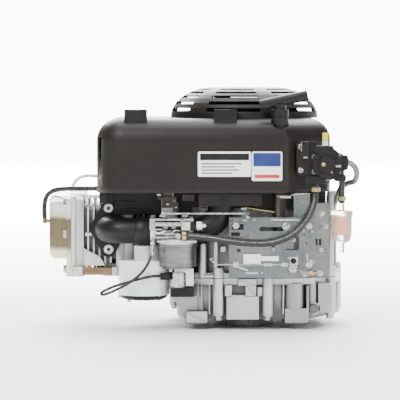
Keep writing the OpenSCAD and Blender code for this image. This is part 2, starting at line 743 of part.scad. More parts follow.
lead_route = [[-134, -128, 113], [-137, -137, 103], [-147, -141, 84], [-166, -143, 67], [-190, -143, 54],
  [-204, -143, 48.5], [-209, -143, 49], [-206, -143, 53], [-188, -142, 61], [-160, -141, 69],
  [-138, -138, 74], [-122, -129, 74], [-112, -121, 72]];

module fuel_line() color("black") hose(fuel_route, line_r, 5, 12);
module filter_hose() color("black") hose(filter_route, 4.6, 3, 10);
module pulse_hose() color("gray") hose(pulse_route, 4.2, 4, 10, [0.3, 0.2, 1]);
module breather_hose() color("black") hose(breather_route, 3.6, 4, 10);
module ignition_lead() color("wheat") {
  hose(plug_route, 2.4, 5, 8, [0.5, 1, 0.2]);
}
module solenoid_lead() color("black") hose(lead_route, 1.5, 5, 8);

module hose_clamps() color("olive") {
  tube_z(197, 203, [101, -131.2], 7.2, line_r + 1.1);
  difference() {
    rod_x(-92, -86, -142.2, 133, 7);
    rod_x(-93, -85, -142.2, 133, line_r + 0.4);
  }
  tube_z(184, 190, [140, -125], 6.6, 4.8);
}

module fuel_filter() color("mistyrose") difference() {
  union() {
    rod_z(124, 168, filter_xy, filter_r);
    rod_z(166, 180, filter_xy, 4);
    rod_z(108, 125, filter_xy, 4);
    rod_z(138, 141, filter_xy, filter_r + 1.2);
  }
  rod_z(126, 166, filter_xy, filter_r - 1.5);
  rod_z(107, 127, filter_xy, 2.2);
  rod_z(165, 181, filter_xy, 2.2);
}
module filter_element() color("salmon") tube_z(128, 164, filter_xy, 11.5, 4);

// ---- Sheet metal, housing and controls ----

module housing_shape(d, z0) {
  hull() for (a = [0:15:90]) {
    edge = housing_edge_r * (1 - cos(a)) + d;
    z = housing_z1 - housing_edge_r + (housing_edge_r - d) * sin(a);
    plate_z(a == 0 ? z0 : z - 0.1, z, round_poly(inset_poly(housing_plan, edge),
      [for (r = housing_corner) max(r - edge, 5)]));
  }
}

module blower_housing() color("dimgray") {
  difference() {
    union() {
      housing_shape(0, housing_z0);
      block([-213, -112, 181], [-202, -102, housing_z0 + 2]);
    }
    housing_shape(housing_t, housing_z0 - 1);
    rod_z(290, 310, [0, 0], inlet_r);
    block([-214.5, -132, 215], [-209, -104, 275]);
    rod_z(270, 310, [filler_x, filler_y], 13);
  }
}

clip_x = [-159.5, -29];
module housing_clips() color("black") difference() {
  for (x = clip_x)
    block([x - 16.5, -126, 292], [x + 16.5, -111, 316]);
  housing_shape(0, housing_z0);
}

function dome_point(a, t) = [dome_flat_r + (dome_r - dome_flat_r - t) * cos(a),
  housing_z1 + (dome_h - t) * sin(a)];

module screen_grille() color("dimgray") difference() {
  rotate_extrude($fn = 72) polygon(concat(
    [[0, housing_z1 + dome_h - dome_t], [0, housing_z1 + dome_h]],
    [for (a = [90:-10:0]) dome_point(a, 0)],
    [for (a = [0:10:90]) dome_point(a, dome_t)]));
  for (k = [0:dome_ribs - 1], a = dome_rows) {
    c = dome_point(a, 1.5);
    t = unit([-sin(a), cos(a)]);
    n = [cos(a), sin(a)];
    rotate([0, 0, dome_rib_phase + k * 60 + 8]) rotate_extrude(angle = 44, $fn = 72)
      polygon([c - 3 * t - 7 * n, c - 3 * t + 7 * n, c + 3 * t + 7 * n, c + 3 * t - 7 * n]);
  }
}

plate_y1 = plate_y0 + 2;
plate_outline = [[-24, 72], [121, 72], [121, 181], [100, 181], [100, 160], [-24, 160]];
module control_plate() color("lightsteelblue") difference() {
  union() {
    plate_y(plate_y0, plate_y1, plate_outline);
    for (x = [-14, 92], z = [92, 148])
      rod_y(plate_y1, -112, x, z, 5);
    block([66, plate_y1, 158], [100, plate_y1 + 9, 160]);
    block([70, plate_y1 + 5, 159], [94, plate_y1 + 7, 195]);
    block([57, -142, 103], [75, plate_y0, 112]);
  }
  plate_y(plate_y0 - 1, plate_y1 + 1, round_poly(rect(20, 140, 56, 146), 2.9));
  plate_y(plate_y0 - 1, plate_y1 + 1, round_poly(rect(70, 112, 78, 134), 3));
  for (p = [[-10, 112], [2, 134], [100, 128], [108, 104], [108, 146], [64, 84], [40, 120]])
    rod_y(plate_y0 - 1, plate_y1 + 1, p[0], p[1], 3);
  rod_y(plate_y0 - 1, plate_y1 + 1, 10, 99.5, 3);
}

module small_screws() color("gainsboro") {
  for (s = [-1, 1]) {
    rod_y(-60, -35, port_x, carb_z + s * 30.5, 3);
    rod_y(-65, -60, port_x, carb_z + s * 30.5, 6.5);
  }
  for (p = cover_screw_yz) {
    rod_x(cover_x - 7, cover_x + 9, p[0], p[1], 3);
    hex_x(cover_x - 12, cover_x - 7, p[0], p[1], 10);
  }
  for (x = [-14, 92], z = [92, 148])
    hex_y(plate_y0 - 5, plate_y0, x, z, 9);
}

module control_lever() color("white") {
  block([-3, -143, 93], [22, -137, 107]);
  block([21, -141, 97], [48, -139, 104]);
  rod_y(-138, -133.4, 10, 99.5, 3 - run_gap);
}

module governor_arm() color("lightsteelblue") {
  plate_y(-133, -130.5, round_poly(rect(governor_x - 6, 78, governor_x + 6, 169), 5));
  rod_y(-131, -98, governor_x, governor_z, 4);
}
module governor_link() color("gainsboro") {
  rod_x(throttle_x, governor_x, -138.5, 165.5, 1.2);
  rod_z(164, 168, [throttle_x, -138.5], 1.8);
}

// ---- Starter ----

module starter_outline_solid(z0, z1, r) {
  hull() {
    rod_z(z0, z1, motor_xy, r);
    rod_z(z0, z1, drive_xy, r);
  }
}

module starter_case() color("lightslategray") difference() {
  union() {
    rod_z(starter_z0 + 8, starter_z1, motor_xy, starter_r);
    starter_outline_solid(starter_z1 - 1, nose_top_z, 15);
    rod_z(nose_top_z - 1, 184, drive_xy, 13.5);
  }
  rod_z(starter_z0 + 7, 81, motor_xy, starter_r - 3);
  starter_outline_solid(starter_z1 + 4, nose_top_z - 3, 13.6);
  for (p = [drive_xy, idler_xy, motor_xy])
    rod_z(78, starter_z1 + 5, p, 4 + run_gap);
  rod_z(110, 185, drive_xy, 5 + run_gap);
  rod_z(84, 130, [bowl_x, carb_y], 30.5);
}
module starter_end_cap() color("dimgray") difference() {
  union() {
    rod_z(starter_z0 + 3, starter_z0 + 8, motor_xy, starter_r);
    rod_z(starter_z0, starter_z0 + 4, motor_xy, starter_r - 5);
  }
  rod_z(starter_z0 + 3, starter_z0 + 9, motor_xy, 6 + run_gap);
}
module starter_gear(p, phase) {
  plate_z(transfer_z, transfer_z + transfer_h,
    [for (q = gear_points(transfer_teeth, phase, 1.2, 0.7)) q + p]);
}
module starter_armature() color("peru") {
  rod_z(starter_z0 + 4, transfer_z, motor_xy, 4);
  rod_z(starter_z0 + 3.5, starter_z0 + 9, motor_xy, 6);
  rod_z(50, 78, motor_xy, 26);
  starter_gear(motor_xy, transfer_angle + 180);
}
module starter_idler() color("gray") {
  rod_z(starter_z1 - 3, transfer_z, idler_xy, 4);
  starter_gear(idler_xy, transfer_angle + 180 / transfer_teeth);
}
module starter_drive() color("gray") {
  rod_z(starter_z1 - 3, transfer_z, drive_xy, 4);
  rod_z(transfer_z, 214, drive_xy, 5);
  rod_z(213, 216, drive_xy, 8);
  starter_gear(drive_xy, transfer_angle + 180 / transfer_teeth);
}
module starter_pinion() color("lightsteelblue") difference() {
  union() {
    plate_z(186, 198, [for (q = gear_points(pinion_teeth, drive_angle + 180, 1.2, 0.7)) q + drive_xy]);
    rod_z(184.5, 187, drive_xy, 13);
  }
  rod_z(184, 199, drive_xy, 5 + run_gap);
}

// ---- Flywheel, fan and electrics ----

module flywheel() color("gray") {
  difference() {
    union() {
      plate_z(ring_z, ring_z + ring_h,
        gear_points(ring_teeth, drive_angle + 180 / ring_teeth, 0.12, 0.7));
      rod_z(ring_z + 2, 236, [0, 0], rim_r);
    }
    rod_z(ring_z - 1, 226, [0, 0], 92);
    rod_z(225, 237, [0, 0], 12.7);
  }
  tube_z(197, 226, [0, 0], 27, 12.7);
  difference() {
    hex_z(246, 257, [0, 0], 27);
    rod_z(245, 258, [0, 0], 9);
  }
  tube_z(236, 246, [0, 0], 20, 12.7);
}

module blower_fan() color("dimgray") {
  tube_z(236, 240, [0, 0], 103, 30);
  for (k = [0:19])
    rotate([0, 0, k * 18]) translate([64, 0, 239]) rotate([0, 0, 24]) block([0, -1.25, 0], [40, 1.25, 50]);
  tube_z(286, 290, [0, 0], 102, 96);
  tube_z(286, 290, [0, 0], 82, 78);
  tube_z(240, 290, [0, 0], 66, 62);
  for (k = [0:5])
    rotate([0, 0, k * 60]) block([64, -2, 286], [98, 2, 290]);
}

module stator() color("peru") {
  tube_z(186, 206, [0, 0], 42, 30);
  for (k = [0:11])
    rotate([0, 0, k * 30]) block([41, -5, 190], [84, 5, 202]);
}

module ignition_coil() color("dimgray") rotate([0, 0, coil_angle]) {
  for (s = [-1, 1])
    block([rim_r + 0.6, s * 22 - 4, 216], [140, s * 22 + 4, 230]);
  block([139, -26, 216], [150, 26, 230]);
  block([116, -15, 214], [136, 15, 238]);
}

module oil_filler_tube() color("dimgray") difference() {
  union() {
    rod_z(100, filler_top_z, [filler_x, filler_y], 10);
    translate([filler_x, filler_y, 100]) sphere(r = 10);
    rod_y(filler_y, -112, filler_x, 100, 10);
    rod_y(-112, -106, filler_x, 100, 8);
    rod_z(filler_top_z - 12, filler_top_z, [filler_x, filler_y], 12.5);
  }
  rod_z(100, filler_top_z + 1, [filler_x, filler_y], 8);
  translate([filler_x, filler_y, 100]) sphere(r = 8);
  rod_y(filler_y, -105, filler_x, 100, 6);
}

handle_tilt = 12;
module dipstick() color("dimgray") {
  rod_z(filler_top_z + 0.3, filler_top_z + 10, [filler_x, filler_y], 13);
  rod_z(filler_top_z - 10, filler_top_z + 1, [filler_x, filler_y], 7.6);
  rod_z(filler_top_z + 9, 324, [filler_x, filler_y], 9);
  block([filler_x - 3, filler_y - 0.8, 112], [filler_x + 3, filler_y + 0.8, 300]);
  translate([filler_x + 6, filler_y, 329.5]) rotate([0, -handle_tilt, 0]) difference() {
    rod_x(-35, 35, 0, 0, 7.6);
    rod_x(-36, -12, 0, 0, 5.6);
  }
}

sump();
crankcase();
gaskets();
case_bolts();
cylinder_head();
head_bolts();
valve_cover();
small_screws();
spark_plug();
rocker_shaft();
valve_springs();
intake_manifold();
carburetor_body();
carburetor_bowl();
fuel_solenoid();
intake_duct();
blower_housing();
housing_clips();
screen_grille();
control_plate();
starter_case();
starter_end_cap();
fuel_pump();
fuel_line();
hose_clamps();
fuel_filter();
filter_element();
filter_hose();
pulse_hose();
breather_hose();
ignition_lead();
ignition_coil();
oil_filler_tube();
drain_plug();
bearings_and_seals();
stator();
solenoid_lead();
crankshaft();
flywheel();
blower_fan();
camshaft();
piston();
wrist_pin();
connecting_rod();
intake_valve();
exhaust_valve();
intake_rocker();
exhaust_rocker();
intake_pushrod();
exhaust_pushrod();
throttle_shaft();
choke_shaft();
dipstick();
starter_armature();
starter_idler();
starter_drive();
starter_pinion();
governor_arm();
governor_link();
control_lever();
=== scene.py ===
"""A small vertical-shaft gasoline engine: looks, camera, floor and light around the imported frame."""
import math

import bmesh
import bpy
from mathutils import Matrix, Vector


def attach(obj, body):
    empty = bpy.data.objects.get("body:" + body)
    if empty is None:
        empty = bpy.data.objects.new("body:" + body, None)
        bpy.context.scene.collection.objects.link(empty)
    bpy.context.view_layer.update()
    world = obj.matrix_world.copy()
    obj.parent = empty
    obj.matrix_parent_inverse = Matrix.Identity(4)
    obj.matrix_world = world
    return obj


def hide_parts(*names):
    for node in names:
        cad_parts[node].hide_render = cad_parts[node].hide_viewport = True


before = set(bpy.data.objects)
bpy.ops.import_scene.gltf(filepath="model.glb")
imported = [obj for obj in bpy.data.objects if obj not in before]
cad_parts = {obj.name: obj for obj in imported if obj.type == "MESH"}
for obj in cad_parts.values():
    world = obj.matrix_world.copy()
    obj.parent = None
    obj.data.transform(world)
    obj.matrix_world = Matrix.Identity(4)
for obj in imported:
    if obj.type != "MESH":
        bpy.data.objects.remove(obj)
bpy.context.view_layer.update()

MM = 0.001
ENGINE = "engine"


# ---------------------------------------------------------------- materials

def new_material(name):
    """An empty node material with its Principled shader and output."""
    mat = bpy.data.materials.new(name)
    mat.use_nodes = True
    tree = mat.node_tree
    tree.nodes.clear()
    out = tree.nodes.new("ShaderNodeOutputMaterial")
    shader = tree.nodes.new("ShaderNodeBsdfPrincipled")
    tree.links.new(shader.outputs["BSDF"], out.inputs["Surface"])
    return mat, tree, shader


def object_noise(tree, scale, detail=4.0, stretch=(1, 1, 1)):
    """Noise in the object's own space, its scale in features per metre."""
    coords = tree.nodes.new("ShaderNodeTexCoord")
    mapping = tree.nodes.new("ShaderNodeMapping")
    mapping.inputs["Scale"].default_value = stretch
    noise = tree.nodes.new("ShaderNodeTexNoise")
    noise.inputs["Scale"].default_value = scale
    noise.inputs["Detail"].default_value = detail
    tree.links.new(coords.outputs["Object"], mapping.inputs["Vector"])
    tree.links.new(mapping.outputs["Vector"], noise.inputs["Vector"])
    return noise.outputs["Fac"]


def ramp(tree, factor, stops):
    """A colour ramp with (position, colour) stops."""
    node = tree.nodes.new("ShaderNodeValToRGB")
    elements = node.color_ramp.elements
    while len(elements) < len(stops):
        elements.new(0.5)
    for element, (position, colour) in zip(elements, stops):
        element.position = position
        element.color = (*colour, 1)
    tree.links.new(factor, node.inputs["Fac"])
    return node.outputs["Color"]


def map_range(tree, factor, low, high, start=0.3, end=0.7):
    node = tree.nodes.new("ShaderNodeMapRange")
    node.inputs["From Min"].default_value = start
    node.inputs["From Max"].default_value = end
    node.inputs["To Min"].default_value = low
    node.inputs["To Max"].default_value = high
    tree.links.new(factor, node.inputs["Value"])
    return node.outputs["Result"]


def rounded_normal(tree, radius):
    """Edges look rounded by this radius, in metres."""
    bevel = tree.nodes.new("ShaderNodeBevel")
    bevel.samples = 4
    bevel.inputs["Radius"].default_value = radius
    return bevel.outputs["Normal"]


def bump(tree, height, depth, normal=None):
    node = tree.nodes.new("ShaderNodeBump")
    node.inputs["Strength"].default_value = 1.0
    node.inputs["Distance"].default_value = depth
    tree.links.new(height, node.inputs["Height"])
    if normal is not None:
        tree.links.new(normal, node.inputs["Normal"])
    return node.outputs["Normal"]


def edge_wear(tree, colour, worn, amount):
    """Blends towards the worn colour on convex edges."""
    geometry = tree.nodes.new("ShaderNodeNewGeometry")
    edge = map_range(tree, geometry.outputs["Pointiness"], 0.0, amount, 0.51, 0.6)
    mix = tree.nodes.new("ShaderNodeMix")
    mix.data_type = "RGBA"
    tree.links.new(edge, mix.inputs["Factor"])
    tree.links.new(colour, mix.inputs["A"])
    mix.inputs["B"].default_value = (*worn, 1)
    return mix.outputs["Result"]


def painted_crevice_shade(tree, colour, amount, reach=0.018):
    """Painted shade: darkens the colour in corners and between ribs, where shade falls."""
    occlusion = tree.nodes.new("ShaderNodeAmbientOcclusion")
    occlusion.samples = 6
    occlusion.inputs["Distance"].default_value = reach
    mix = tree.nodes.new("ShaderNodeMix")
    mix.data_type = "RGBA"
    mix.blend_type = "MULTIPLY"
    mix.inputs["Factor"].default_value = amount
    tree.links.new(colour, mix.inputs["A"])
    tree.links.new(ramp(tree, occlusion.outputs["AO"], [(0.15, grey(0.04)), (0.9, grey(1.0))]),
        mix.inputs["B"])
    return mix.outputs["Result"]


def surface(name, colours, metallic=0.0, roughness=(0.4, 0.5), blotch=25.0, grain=1500.0,
        grain_depth=0.00006, bevel=0.0007, specular=0.5, coat=0.0, wear=None, stretch=(1, 1, 1), painted_shade=0.0):
    """A finish with patchy colour between two tones, grain and softened edges."""
    mat, tree, shader = new_material(name)
    patches = object_noise(tree, blotch, 5.0, stretch)
    low, high = colours
    colour = ramp(tree, patches, [(0.35, low), (0.65, high)])
    if wear is not None:
        colour = edge_wear(tree, colour, wear, 0.8)
    # painted shade in corners and between ribs, from the ambient occlusion of nearby geometry
    if painted_shade:
        colour = painted_crevice_shade(tree, colour, painted_shade)
    tree.links.new(colour, shader.inputs["Base Color"])
    shader.inputs["Metallic"].default_value = metallic
    shader.inputs["Specular IOR Level"].default_value = specular
    shader.inputs["Coat Weight"].default_value = coat
    shader.inputs["Coat Roughness"].default_value = 0.12
    fine = object_noise(tree, grain, 3.0, stretch)
    tree.links.new(map_range(tree, patches, *roughness), shader.inputs["Roughness"])
    soft = rounded_normal(tree, bevel) if bevel else None
    tree.links.new(bump(tree, fine, grain_depth, soft), shader.inputs["Normal"])
    return mat


def zinc(name, stops, roughness=(0.16, 0.34)):
    """Chromated zinc: thin-film colour drifting over polished steel."""
    mat, tree, shader = new_material(name)
    drift = object_noise(tree, 14.0, 3.0)
    tree.links.new(ramp(tree, drift, stops), shader.inputs["Base Color"])
    shader.inputs["Metallic"].default_value = 0.92
    streaks = object_noise(tree, 220.0, 3.0, (1, 1, 0.2))
    tree.links.new(map_range(tree, streaks, *roughness), shader.inputs["Roughness"])
    fine = object_noise(tree, 900.0, 2.0)
    tree.links.new(bump(tree, fine, 0.00002, rounded_normal(tree, 0.0008)), shader.inputs["Normal"])
    return mat


def cover_zinc_painted_reflections():
    """Yellow chromate over zinc, with painted reflection and highlight bands up the cover."""
    mat, tree, shader = new_material("yellow_zinc_painted_reflections")
    coords = tree.nodes.new("ShaderNodeTexCoord")
    split = tree.nodes.new("ShaderNodeSeparateXYZ")
    tree.links.new(coords.outputs["Object"], split.inputs["Vector"])
    height = map_range(tree, split.outputs["Z"], 0.0, 1.0, 0.067, 0.190)
    reflection_band_wobble = tree.nodes.new("ShaderNodeMath")
    reflection_band_wobble.operation = "MULTIPLY_ADD"
    reflection_band_wobble.inputs[1].default_value = 0.12
    tree.links.new(object_noise(tree, 22.0, 3.0), reflection_band_wobble.inputs[0])
    tree.links.new(height, reflection_band_wobble.inputs[2])
    # painted reflections by height: pale yellow low down, a dark brown reflection band in the middle, a
    # near-white highlight band at the top
    stops = [(0.06, (0.58, 0.56, 0.42)), (0.26, (0.78, 0.78, 0.58)), (0.36, (0.62, 0.64, 0.4)),
        (0.42, (0.19, 0.155, 0.095)), (0.74, (0.17, 0.135, 0.085)), (0.79, (0.72, 0.70, 0.50)),
        (0.86, (0.82, 0.85, 0.84)), (1.0, (0.78, 0.78, 0.70))]
    tree.links.new(ramp(tree, reflection_band_wobble.outputs[0], stops), shader.inputs["Base Color"])
    shader.inputs["Metallic"].default_value = 0.85
    streaks = object_noise(tree, 220.0, 3.0, (1, 1, 0.2))
    tree.links.new(map_range(tree, streaks, 0.18, 0.32), shader.inputs["Roughness"])
    fine = object_noise(tree, 900.0, 2.0)
    tree.links.new(bump(tree, fine, 0.00002, rounded_normal(tree, 0.0015)), shader.inputs["Normal"])
    return mat


def braided(name, dark, light, weave=0.0016):
    """Rubber hose with a fabric cover: two crossing waves make the braid."""
    mat, tree, shader = new_material(name)
    coords = tree.nodes.new("ShaderNodeTexCoord")
    waves = []
    for direction in ((1, 0, 1), (1, 0, -1)):
        mapping = tree.nodes.new("ShaderNodeMapping")
        mapping.inputs["Rotation"].default_value = (0, math.radians(45) * direction[2], 0)
        wave = tree.nodes.new("ShaderNodeTexWave")
        wave.inputs["Scale"].default_value = 0.2 / weave
        tree.links.new(coords.outputs["Object"], mapping.inputs["Vector"])
        tree.links.new(mapping.outputs["Vector"], wave.inputs["Vector"])
        waves.append(wave.outputs["Fac"])
    mix = tree.nodes.new("ShaderNodeMath")
    mix.operation = "MULTIPLY"
    tree.links.new(waves[0], mix.inputs[0])
    tree.links.new(waves[1], mix.inputs[1])
    tree.links.new(ramp(tree, mix.outputs[0], [(0.15, dark), (0.8, light)]), shader.inputs["Base Color"])
    shader.inputs["Roughness"].default_value = 0.45
    tree.links.new(bump(tree, mix.outputs[0], 0.00025), shader.inputs["Normal"])
    return mat


def translucent(name, colour, roughness, density):
    """Milky nylon that lets light and the filter inside show through."""
    mat, tree, shader = new_material(name)
    cloud = object_noise(tree, 60.0, 4.0)
    tree.links.new(ramp(tree, cloud, [(0.3, colour), (0.7, tuple(min(1, c * 1.06) for c in colour))]),
        shader.inputs["Base Color"])
    shader.inputs["Roughness"].default_value = roughness
    shader.inputs["Transmission Weight"].default_value = density
    shader.inputs["IOR"].default_value = 1.3
    shader.inputs["Subsurface Weight"].default_value = 0.3
    shader.inputs["Subsurface Radius"].default_value = (0.01, 0.008, 0.006)
    tree.links.new(bump(tree, cloud, 0.0002), shader.inputs["Normal"])
    return mat


def grey(value, warm=0.0):
    return (value * (1 + warm), value, value * (1 - warm))


M = {
    "cast": surface("cast_aluminium", (grey(0.17, 0.03), grey(0.27, 0.03)), 0.8, (0.36, 0.5), 18.0, 1100.0,
        0.00016, 0.0012, wear=grey(0.62), painted_shade=0.85),
    "head": surface("head_aluminium", (grey(0.3, 0.03), grey(0.44, 0.03)), 0.82, (0.32, 0.46), 30.0, 1300.0,
        0.00012, 0.0010, wear=grey(0.75), painted_shade=0.8),
    "housing": surface("housing_plastic", ((0.0085, 0.0069, 0.0059), (0.01, 0.0082, 0.007)), 0.0,
        (0.4, 0.46), 9.0,
        2600.0, 0.00003, 0.0, specular=0.22),
    "black": surface("black_plastic", ((0.006, 0.0052, 0.005), (0.0095, 0.0084, 0.008)), 0.0,
        (0.36, 0.48), 40.0,
        1800.0, 0.00005, 0.0008, specular=0.22),
    "rubber": surface("black_rubber", (grey(0.004), grey(0.006)), 0.0, (0.4, 0.52), 60.0, 900.0,
        0.00004, 0.0),
    "grey_rubber": surface("grey_rubber", (grey(0.09), grey(0.17)), 0.0, (0.16, 0.24), 90.0, 500.0, 0.00003,
        0.0, coat=0.6),
    "bolt": surface("zinc_bolts", (grey(0.36, 0.04), grey(0.58, 0.04)), 0.92, (0.18, 0.34), 120.0, 2000.0,
        0.00002, 0.0004, painted_shade=0.5),
    "dark_steel": surface("dark_steel", (grey(0.09), grey(0.17)), 0.9, (0.3, 0.45), 80.0, 1500.0,
        0.00003, 0.0005),
    "machined": surface("machined_steel", (grey(0.38), grey(0.55)), 0.95, (0.18, 0.3), 60.0, 900.0, 0.00002,
        0.0005, stretch=(1, 1, 12)),
    "starter": surface("starter_enamel", ((0.72, 0.755, 0.77), (0.78, 0.81, 0.82)), 0.1,
        (0.26, 0.34), 12.0, 900.0,
        0.00003, 0.0012, coat=0.3),
    "carb": surface("carburettor_alloy", (grey(0.22, 0.02), grey(0.36, 0.02)), 0.82,
        (0.28, 0.4), 45.0, 1300.0,
        0.0001, 0.0007, wear=grey(0.78), painted_shade=0.8),
    "bowl": surface("bowl_alloy", (grey(0.15), grey(0.22)), 0.88, (0.26, 0.36), 26.0, 1500.0, 0.00003, 0.0008,
        stretch=(1, 1, 8), painted_shade=0.6),
    "gasket": surface("gasket_fibre", (grey(0.05), grey(0.08)), 0.0, (0.7, 0.8), 200.0, 2500.0, 0.00008, 0.0),
    "copper": surface("copper_winding", ((0.42, 0.16, 0.06), (0.6, 0.25, 0.1)), 0.9, (0.25, 0.4),
        300.0, 1500.0,
        0.0001, 0.0004),
    "nylon": surface("white_nylon", (grey(0.78, 0.02), grey(0.86, 0.02)), 0.0, (0.35, 0.45), 50.0,
        1500.0, 0.00003,
        0.0006, painted_shade=0.4),
    "paper": surface("filter_paper", ((0.85, 0.2, 0.07), (0.9, 0.3, 0.14)), 0.0, (0.75, 0.85), 90.0, 1200.0,
        0.0002, 0.0, stretch=(1, 1, 0.1)),
    "sleeve": surface("lead_sleeve", (grey(0.5, 0.08), grey(0.6, 0.08)), 0.0, (0.4, 0.5), 90.0, 1200.0,
        0.00004, 0.0),
    "ceramic": surface("plug_ceramic", (grey(0.8), grey(0.86)), 0.0, (0.1, 0.16), 90.0, 900.0,
        0.00001, 0.0004),
    "iron": surface("cast_iron", (grey(0.05), grey(0.1)), 0.6, (0.5, 0.65), 90.0, 900.0, 0.0002, 0.0006),
    "bronze": surface("bearing_bronze", ((0.5, 0.33, 0.14), (0.62, 0.42, 0.2)), 0.9,
        (0.25, 0.35), 90.0, 900.0,
        0.00002, 0.0004),
    "bronze_bar": surface("bronze_bar", ((0.15, 0.085, 0.045), (0.34, 0.235, 0.13)), 0.5,
        (0.3, 0.42), 60.0, 900.0,
        0.00005, 0.0008, stretch=(0.3, 1, 1)),
    "brown": surface("brown_paint", ((0.016, 0.01, 0.006), (0.045, 0.026, 0.015)), 0.1,
        (0.4, 0.5), 90.0, 900.0,
        0.0001, 0.0005, painted_shade=0.5),
    "print": surface("hose_print", (grey(0.012), grey(0.32, 0.05)), 0.0, (0.4, 0.5), 420.0, 900.0,
        0.00003, 0.0),
    # the valve cover: yellow zinc with painted reflection and highlight bands
    "yellow_zinc_painted_reflections": cover_zinc_painted_reflections(),
    "blue_zinc": zinc("blue_zinc", [(0.3, (0.10, 0.113, 0.122)), (0.5, (0.15, 0.165, 0.172)),
        (0.7, (0.22, 0.215, 0.195))], (0.2, 0.36)),
    "olive_zinc": zinc("olive_zinc", [(0.3, (0.2, 0.19, 0.06)), (0.5, (0.4, 0.37, 0.13)),
        (0.7, (0.28, 0.31, 0.12))]),
    "braid": braided("braided_hose", (0.004, 0.004, 0.004), (0.03, 0.03, 0.027)),
    "filter": translucent("filter_nylon", (0.95, 0.92, 0.88), 0.18, 0.8),
    "label_white": surface("label_white", (grey(0.8), grey(0.84)), 0.0, (0.3, 0.34), 30.0, 800.0,
        0.00001, 0.0),
    "label_blue": surface("label_blue", ((0.008, 0.02, 0.12), (0.012, 0.03, 0.16)), 0.0,
        (0.28, 0.34), 30.0, 800.0,
        0.00001, 0.0),
    "label_red": surface("label_red", ((0.42, 0.02, 0.02), (0.5, 0.03, 0.025)), 0.0,
        (0.28, 0.34), 30.0, 800.0,
        0.00001, 0.0),
    "label_yellow": surface("label_yellow", ((0.72, 0.62, 0.03), (0.78, 0.68, 0.05)), 0.0, (0.28, 0.34), 30.0,
        800.0, 0.00001, 0.0),
}

NODE_MATERIAL = {
    "sump": "cast", "crankcase": "cast", "gaskets": "gasket", "case_bolts": "bolt", "cylinder_head": "head",
    "head_bolts": "dark_steel", "valve_cover": "yellow_zinc_painted_reflections", "small_screws": "bolt", "spark_plug": "ceramic",
    "rocker_shaft": "machined", "valve_springs": "dark_steel", "intake_manifold": "black",
    "carburetor_body": "carb", "carburetor_bowl": "bowl", "fuel_solenoid": "bolt", "intake_duct": "black",
    "blower_housing": "housing", "housing_clips": "black", "screen_grille": "housing",
    "control_plate": "blue_zinc", "starter_case": "starter", "starter_end_cap": "black", "fuel_pump": "black",
    "fuel_line": "braid", "hose_clamps": "olive_zinc", "fuel_filter": "filter", "filter_element": "paper",
    "filter_hose": "rubber", "pulse_hose": "grey_rubber", "breather_hose": "rubber",
    "ignition_lead": "sleeve", "ignition_coil": "black", "oil_filler_tube": "black",
    "drain_plug": "dark_steel",
    "bearings_and_seals": "bronze", "stator": "copper", "solenoid_lead": "rubber", "crankshaft": "machined",
    "flywheel": "iron", "blower_fan": "black", "camshaft": "iron", "piston": "head", "wrist_pin": "machined",
    "connecting_rod": "head", "intake_valve": "machined", "exhaust_valve": "machined",
    "intake_rocker": "dark_steel", "exhaust_rocker": "dark_steel", "intake_pushrod": "machined",
    "exhaust_pushrod": "machined", "throttle_shaft": "bolt", "choke_shaft": "bolt", "dipstick": "black",
    "starter_armature": "copper", "starter_idler": "dark_steel", "starter_drive": "dark_steel",
    "starter_pinion": "machined", "governor_arm": "blue_zinc", "governor_link": "bolt",
    "control_lever": "nylon",
}


def dress_nodes():
    """Gives every CAD node its finished material."""
    for node, finish in NODE_MATERIAL.items():
        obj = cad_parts[node]
        for material_slot in obj.material_slots:
            material_slot.material = M[finish]


# ---------------------------------------------------------------- mesh helpers

def add_object(name, mesh, material, body=ENGINE, bevel=0.0, segments=2, sharp=35):
    """Links a mesh given in millimetres, smooths it, bevels its edges and hangs it on a body."""
    mesh.transform(Matrix.Scale(MM, 4))
    mesh.materials.append(M[material])
    obj = bpy.data.objects.new(name, mesh)
    bpy.context.scene.collection.objects.link(obj)
    for polygon in mesh.polygons:
        polygon.use_smooth = True
    if bevel:
        mod = obj.modifiers.new("edges", "BEVEL")
        mod.width = bevel * MM
        mod.segments = segments
        mod.limit_method = "ANGLE"
        mod.angle_limit = math.radians(sharp)
        mod.harden_normals = True
    mesh.set_sharp_from_angle(angle=math.radians(sharp))
    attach(obj, body)
    return obj


def mesh_from(name, verts, faces):
    mesh = bpy.data.meshes.new(name)
    mesh.from_pydata([tuple(v) for v in verts], [], faces)
    tidy = bmesh.new()
    tidy.from_mesh(mesh)
    bmesh.ops.recalc_face_normals(tidy, faces=tidy.faces)
    tidy.to_mesh(mesh)
    tidy.free()
    mesh.update()
    return mesh


def merge(*parts):
    """Several (verts, faces) lists as one."""
    verts, faces = [], []
    for part_verts, part_faces in parts:
        start = len(verts)
        verts += list(part_verts)
        faces += [tuple(i + start for i in face) for face in part_faces]
    return verts, faces


def box_part(low, high):
    (x0, y0, z0), (x1, y1, z1) = low, high
    verts = [Vector((x, y, z)) for z in (z0, z1) for y in (y0, y1) for x in (x0, x1)]
    faces = [(0, 2, 3, 1), (4, 5, 7, 6), (0, 1, 5, 4), (2, 6, 7, 3), (0, 4, 6, 2), (1, 3, 7, 5)]
    return verts, faces


def lathe_part(profile, centre, axis="z", segments=40):
    """A turned solid from (radius, height) pairs; height runs along the axis from centre."""
    verts, faces = [], []
    turn = {"z": Matrix.Identity(3), "y": Matrix.Rotation(math.radians(-90), 3, "X"),
        "x": Matrix.Rotation(math.radians(90), 3, "Y")}[axis]
    for radius, height in profile:
        for k in range(segments):
            angle = 2 * math.pi * k / segments
            point = turn @ Vector((radius * math.cos(angle), radius * math.sin(angle), height))
            verts.append(point + Vector(centre))
    for i in range(len(profile) - 1):
        for k in range(segments):
            j = (k + 1) % segments
            faces.append((i * segments + k, i * segments + j, (i + 1) * segments + j, (i + 1) * segments + k))
    faces.append(tuple(range(segments)))
    faces.append(tuple((len(profile) - 1) * segments + k for k in reversed(range(segments))))
    return verts, faces


